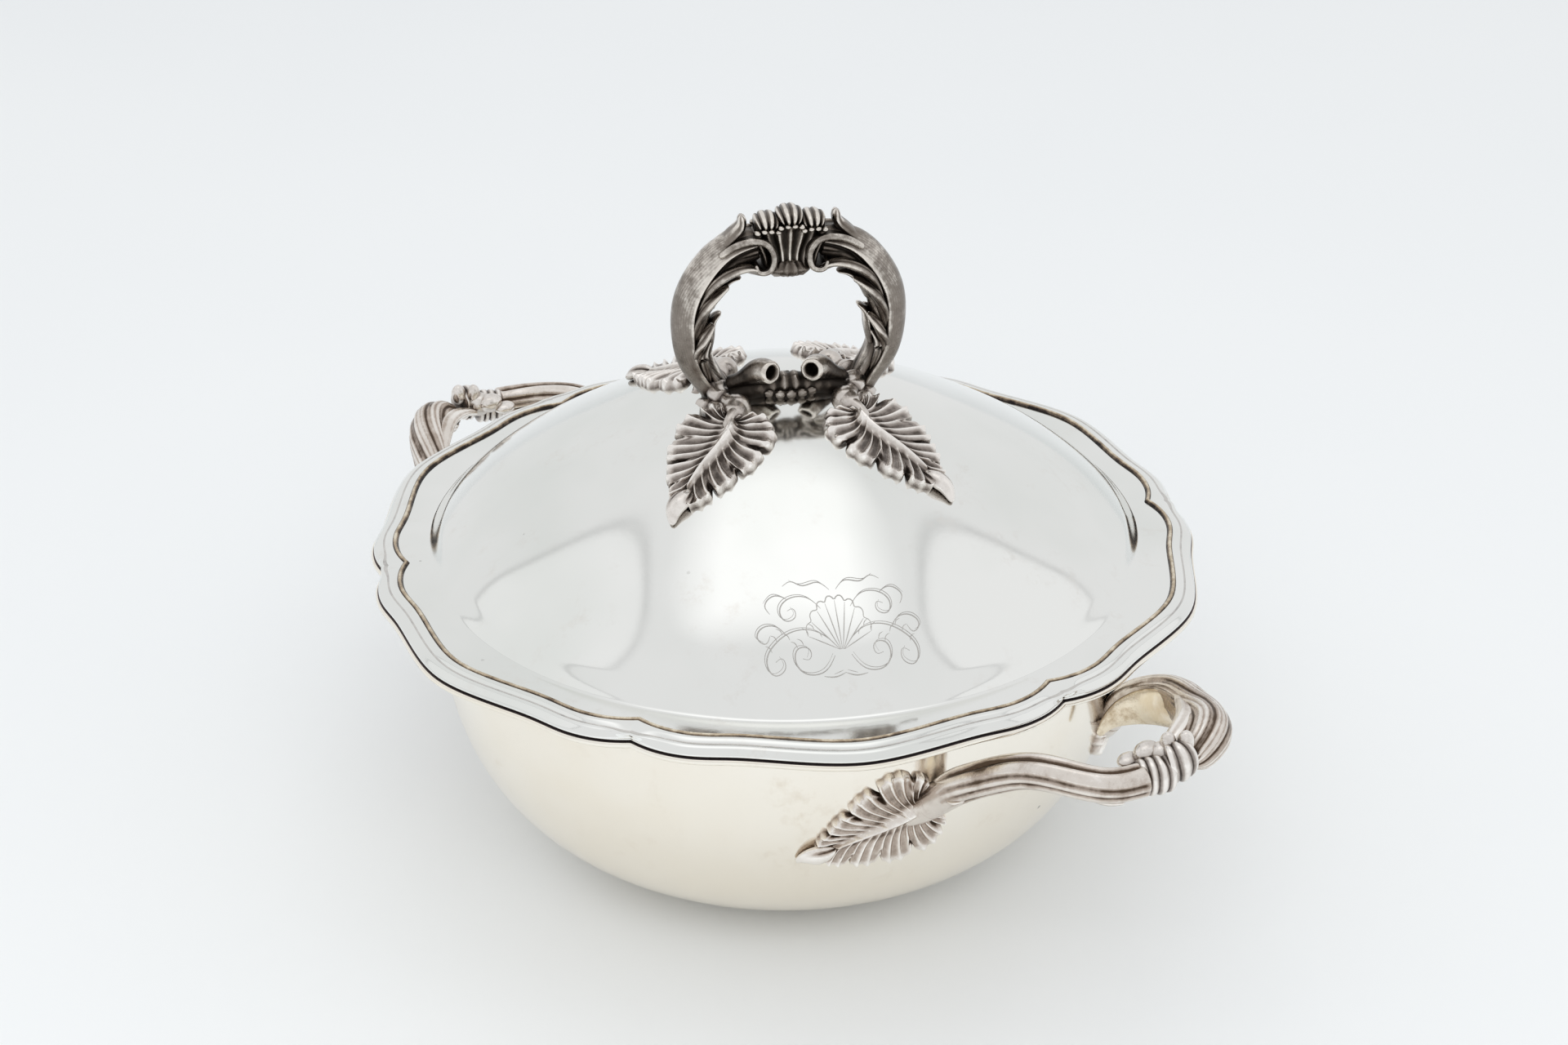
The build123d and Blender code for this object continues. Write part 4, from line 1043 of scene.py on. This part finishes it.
def acanthus_relief(u, turn):
    """Long swelling ridges that twist round the outside, and a hollow inner face by the bowl."""
    t = wrap(turn + 1.7 * (u - 0.3))
    wide = np.abs(np.cos(3.5 * t)) ** 0.7
    split = bump(np.abs(np.cos(3.5 * t)), 1.0, 0.13)
    inner = bump(wrap(turn - math.pi), 0, 1.15) * (1 - ramp(u, 0.50, 0.78))
    grow = ramp(u, 0.14, 0.5) * (1 - inner)
    fine = np.abs(np.cos(12.5 * t + 1.2 * np.sin(u * 7))) ** 0.8
    height = (-0.8 * (1 - wide) - 0.2 * split - 0.28 * (1 - fine)) * grow - 2.0 * inner
    # Colour: the ridges' crests are painted lighter, a painted highlight, the valleys darker, tarnish with
    # painted shade, and the inner face by the bowl darker, painted shade between arm and bowl.
    recess = 0.85 * (1 - wide) + 0.3 * split + 0.75 * (1 - fine) - 0.35 * ramp(wide, 0.6, 0.9)
    return height, recess * grow + 0.4 * inner


def wall_stem(u, turn):
    """A faceted stem that runs into the leaf."""
    return 0.25 * np.cos(3 * turn) * (1 - u), 0.35 * bump(u, 1.0, 0.04) + 0 * turn


def bud_wear_and_painted_shade(la, lo):
    # Painted shade: the bud is painted darker on its underside; elsewhere it is painted a little lighter,
    # wear with a painted highlight.
    return 0 * la, 0.5 * bump(la, 2.6, 0.6) - 0.3


def knot():
    """Where the two arms meet: buds on top of two ribbed collars."""
    made = [
        tube(lifted(FRONT_COLLAR), [5.5, 5.9, 6.1, 5.6], banded(4, 0.75), 140, 60,
             flat=(0.92, 0.96), rounded=(0.6, 0.8)),
        tube(lifted(REAR_COLLAR), [6.0, 6.7, 5.6], banded(3, 0.9), 110, 60,
             flat=(0.82, 0.95), rounded=(0.8, 1.0))]
    for centre, size in BUDS:
        made.append(ball(lifted([centre])[0], size, bud_wear_and_painted_shade, 36))
    return joined(made)


slender = joined([
    rod_part(SLENDER_LINE, SLENDER_RADII, SEAM, 1.0, slender_relief, 170, 110, (0, 2)),
    leaflet(TWIG_LINE, [1.2, 2.4, 1.0], 0.55, 3, 0.3),
    leaflet(TIP_LINE, [1.4, 3.2, 1.8], 0.55, 3, 0.35)])
sheath = leaflet(SHEATH_LINE, [1.4, 5.0, 6.2, 5.6, 2.4], 1.0, 1, 0.2, 90, 48, flat=0.26, tone=0.12)
acanthus = joined([
    rod_part(ACANTHUS_LINE, ACANTHUS_RADII, SEAM, 1.0, acanthus_relief, 170, 150, (0, 4.5)),
    leaflet(CURL_LINE, [1.8, 2.9, 3.3, 2.9, 1.6], 0.62, 3, 0.5, along=90)])
bud_knot = knot()
wall_leaves = {}
for end, values, line, radii in WALL_LEAVES:
    stem = rod_part(line, radii, 0.0, SEAM, wall_stem, 50, 44)
    wall_leaves[end] = joined([veined_leaf(on_wall(*values), LEAF_LENGTH, 16, 0.7, 0.55), stem])

for side, turn in (("right", 0.0), ("left", 180.0)):
    prefix = "handle_" + side
    add_cast(prefix + "_reeded_arm", slender.turned(turn), PALE_SILVER, "bowl_body",
             prefix + "_slender_arm")
    add_cast(prefix + "_warm_sheath", sheath.turned(turn), WARM_HOLLOW, "bowl_body")
    add_cast(prefix + "_curled_arm", acanthus.turned(turn), PALE_SILVER, "bowl_body",
             prefix + "_acanthus_arm")
    add_cast(prefix + "_bud_knot", bud_knot.turned(turn), CAST_SILVER, "bowl_body", prefix + "_knot")
    for end, form in wall_leaves.items():
        name = prefix + "_leaf_" + end
        add_cast(name + "_cast", form.turned(turn), PALE_SILVER, "bowl_body", name)

# ---------------------------------------------------------------- studio
# Places and sizes here are in metres.
CAMERA_TURN = -39.9         # degrees round the object from its right side
ELEVATION = math.radians(28.73)
DISTANCE = 0.9682           # from the rim's centre
AIM_ABOVE = 0.00622         # the camera points this far above the rim's centre, in radians
LENS, SENSOR = 68.25, 36.0
MIDDLE_OF_OBJECT = (0, 0, 0.1)
FLOOR_HALF = 6
PAPER = (0.885, 0.905, 0.915), (0.90, 0.918, 0.925)
WORLD_COLOUR, WORLD_STRENGTH = (0.93, 0.94, 0.95), 0.885
SQUARE_CORNER = 0.3         # rounding of a panel without a darker edge
EDGE_INSIDE, EDGE_WIDTH = 0.03, 0.028       # the darker edge of a panel


def studio_place(turn_from_camera, distance, height):
    """A place round the object, measured from the camera's side."""
    turn = math.radians(CAMERA_TURN + turn_from_camera)
    return (distance * math.cos(turn), distance * math.sin(turn), height)


def aimed(name, data, place, target):
    """A new object whose -Z axis points from its place to the target."""
    made = in_scene(name, data, place)
    made.rotation_euler = (Vector(target) - Vector(place)).to_track_quat("-Z", "Y").to_euler()
    return made


def rectangle(name, w, h, material):
    """A flat rectangle with these half sizes."""
    mesh = bpy.data.meshes.new(name)
    mesh.from_pydata([(-w, -h, 0), (w, -h, 0), (w, h, 0), (-w, h, 0)], [], [(0, 1, 2, 3)])
    mesh.materials.append(material)
    return mesh


def area(name, place, target, size, power):
    """A rectangular light that isn't seen in reflections."""
    data = bpy.data.lights.new(name, "AREA")
    data.shape, data.size, data.size_y = "RECTANGLE", *size
    data.energy = power
    aimed(name, data, place, target).visible_glossy = False


def soft_panel(name, place, size, glow, soft, shade):
    """A soft light with rounded corners and a thin darker edge, seen only in reflections."""
    corner = min(size) / 2 if shade else SQUARE_CORNER
    w, h = size[0] / 2, size[1] / 2
    material, tree, shader = new_material(name)
    # How far each point lies from the rectangle between the corners' centres.
    outside = in_object(tree)
    steps = (("ABSOLUTE", {}), ("SUBTRACT", {1: (w - corner, h - corner, 0)}), ("MAXIMUM", {1: (0, 0, 0)}))
    for operation, inputs in steps:
        step = node(tree, "ShaderNodeVectorMath", {0: outside, **inputs}, operation=operation)
        outside = step.outputs["Vector"]
    value = node(tree, "ShaderNodeVectorMath", {0: outside}, operation="LENGTH").outputs["Value"]
    glowing = remap(tree, value, corner - soft, corner, glow, 0.0)
    line = maths(tree, "ABSOLUTE", maths(tree, "SUBTRACT", value, corner - EDGE_INSIDE))
    clear = remap(tree, line, 0.0, EDGE_WIDTH, 1.0 - shade, 1.0)
    emission = node(tree, "ShaderNodeEmission", {"Strength": glowing})
    through = node(tree, "ShaderNodeBsdfTransparent", {"Color": clear})
    total = node(tree, "ShaderNodeAddShader", {0: emission.outputs[0], 1: through.outputs[0]})
    tree.nodes.remove(shader)
    plug(tree, tree.nodes["Material Output"], {"Surface": total.outputs[0]})
    made = aimed(name, rectangle(name, w, h, material), place, MIDDLE_OF_OBJECT)
    made.visible_camera = False
    made.visible_shadow = False
    made.visible_diffuse = False


floor_material, tree, shader = new_material("studio_paper")
faint_clouds = remap(tree, noise(tree, 3.0, 2.0), 0.3, 0.7, 0.0, 1.0)
plug(tree, shader, {"Base Color": mix_colour(tree, faint_clouds, *PAPER), "Roughness": 0.7})
floor = in_scene("studio_floor", rectangle("studio_floor", FLOOR_HALF, FLOOR_HALF, floor_material))

world = bpy.data.worlds.new("studio")
world.use_nodes = True
background = world.node_tree.nodes["Background"]
plug(world.node_tree, background, {"Color": rgba(WORLD_COLOUR), "Strength": WORLD_STRENGTH})
bpy.context.scene.world = world
bpy.context.scene.view_settings.view_transform = "Standard"

overhead = studio_place(180, 0.1, 1.6)
area("key_overhead", overhead, MIDDLE_OF_OBJECT, (1.0, 0.8), 1.6)
area("front_fill", studio_place(0, 1.15, 1.0), studio_place(0, 0.28, 0.0), (1.2, 0.9), 5.0)
soft_panel("overhead_panel", overhead, (1.3, 1.0), 0.30, 0.30, 0.0)
for side, sign in (("left", -1), ("right", 1)):
    area(side + "_fill", studio_place(sign * 98, 1.25, 0.85), MIDDLE_OF_OBJECT, (1.3, 1.1), 0.6)
    soft_panel(side + "_panel", studio_place(sign * 96, 1.15, 0.99), (1.17, 1.42), 0.06, 0.03, 0.42)

camera_data = bpy.data.cameras.new("camera")
camera_data.lens, camera_data.sensor_width = LENS, SENSOR
camera_height = RIM * MM + DISTANCE * math.sin(ELEVATION)
camera = in_scene("camera", camera_data, studio_place(0, DISTANCE * math.cos(ELEVATION), camera_height))
camera.rotation_euler = (math.pi / 2 - ELEVATION + AIM_ABOVE, 0, math.radians(CAMERA_TURN + 90))
bpy.context.scene.camera = camera
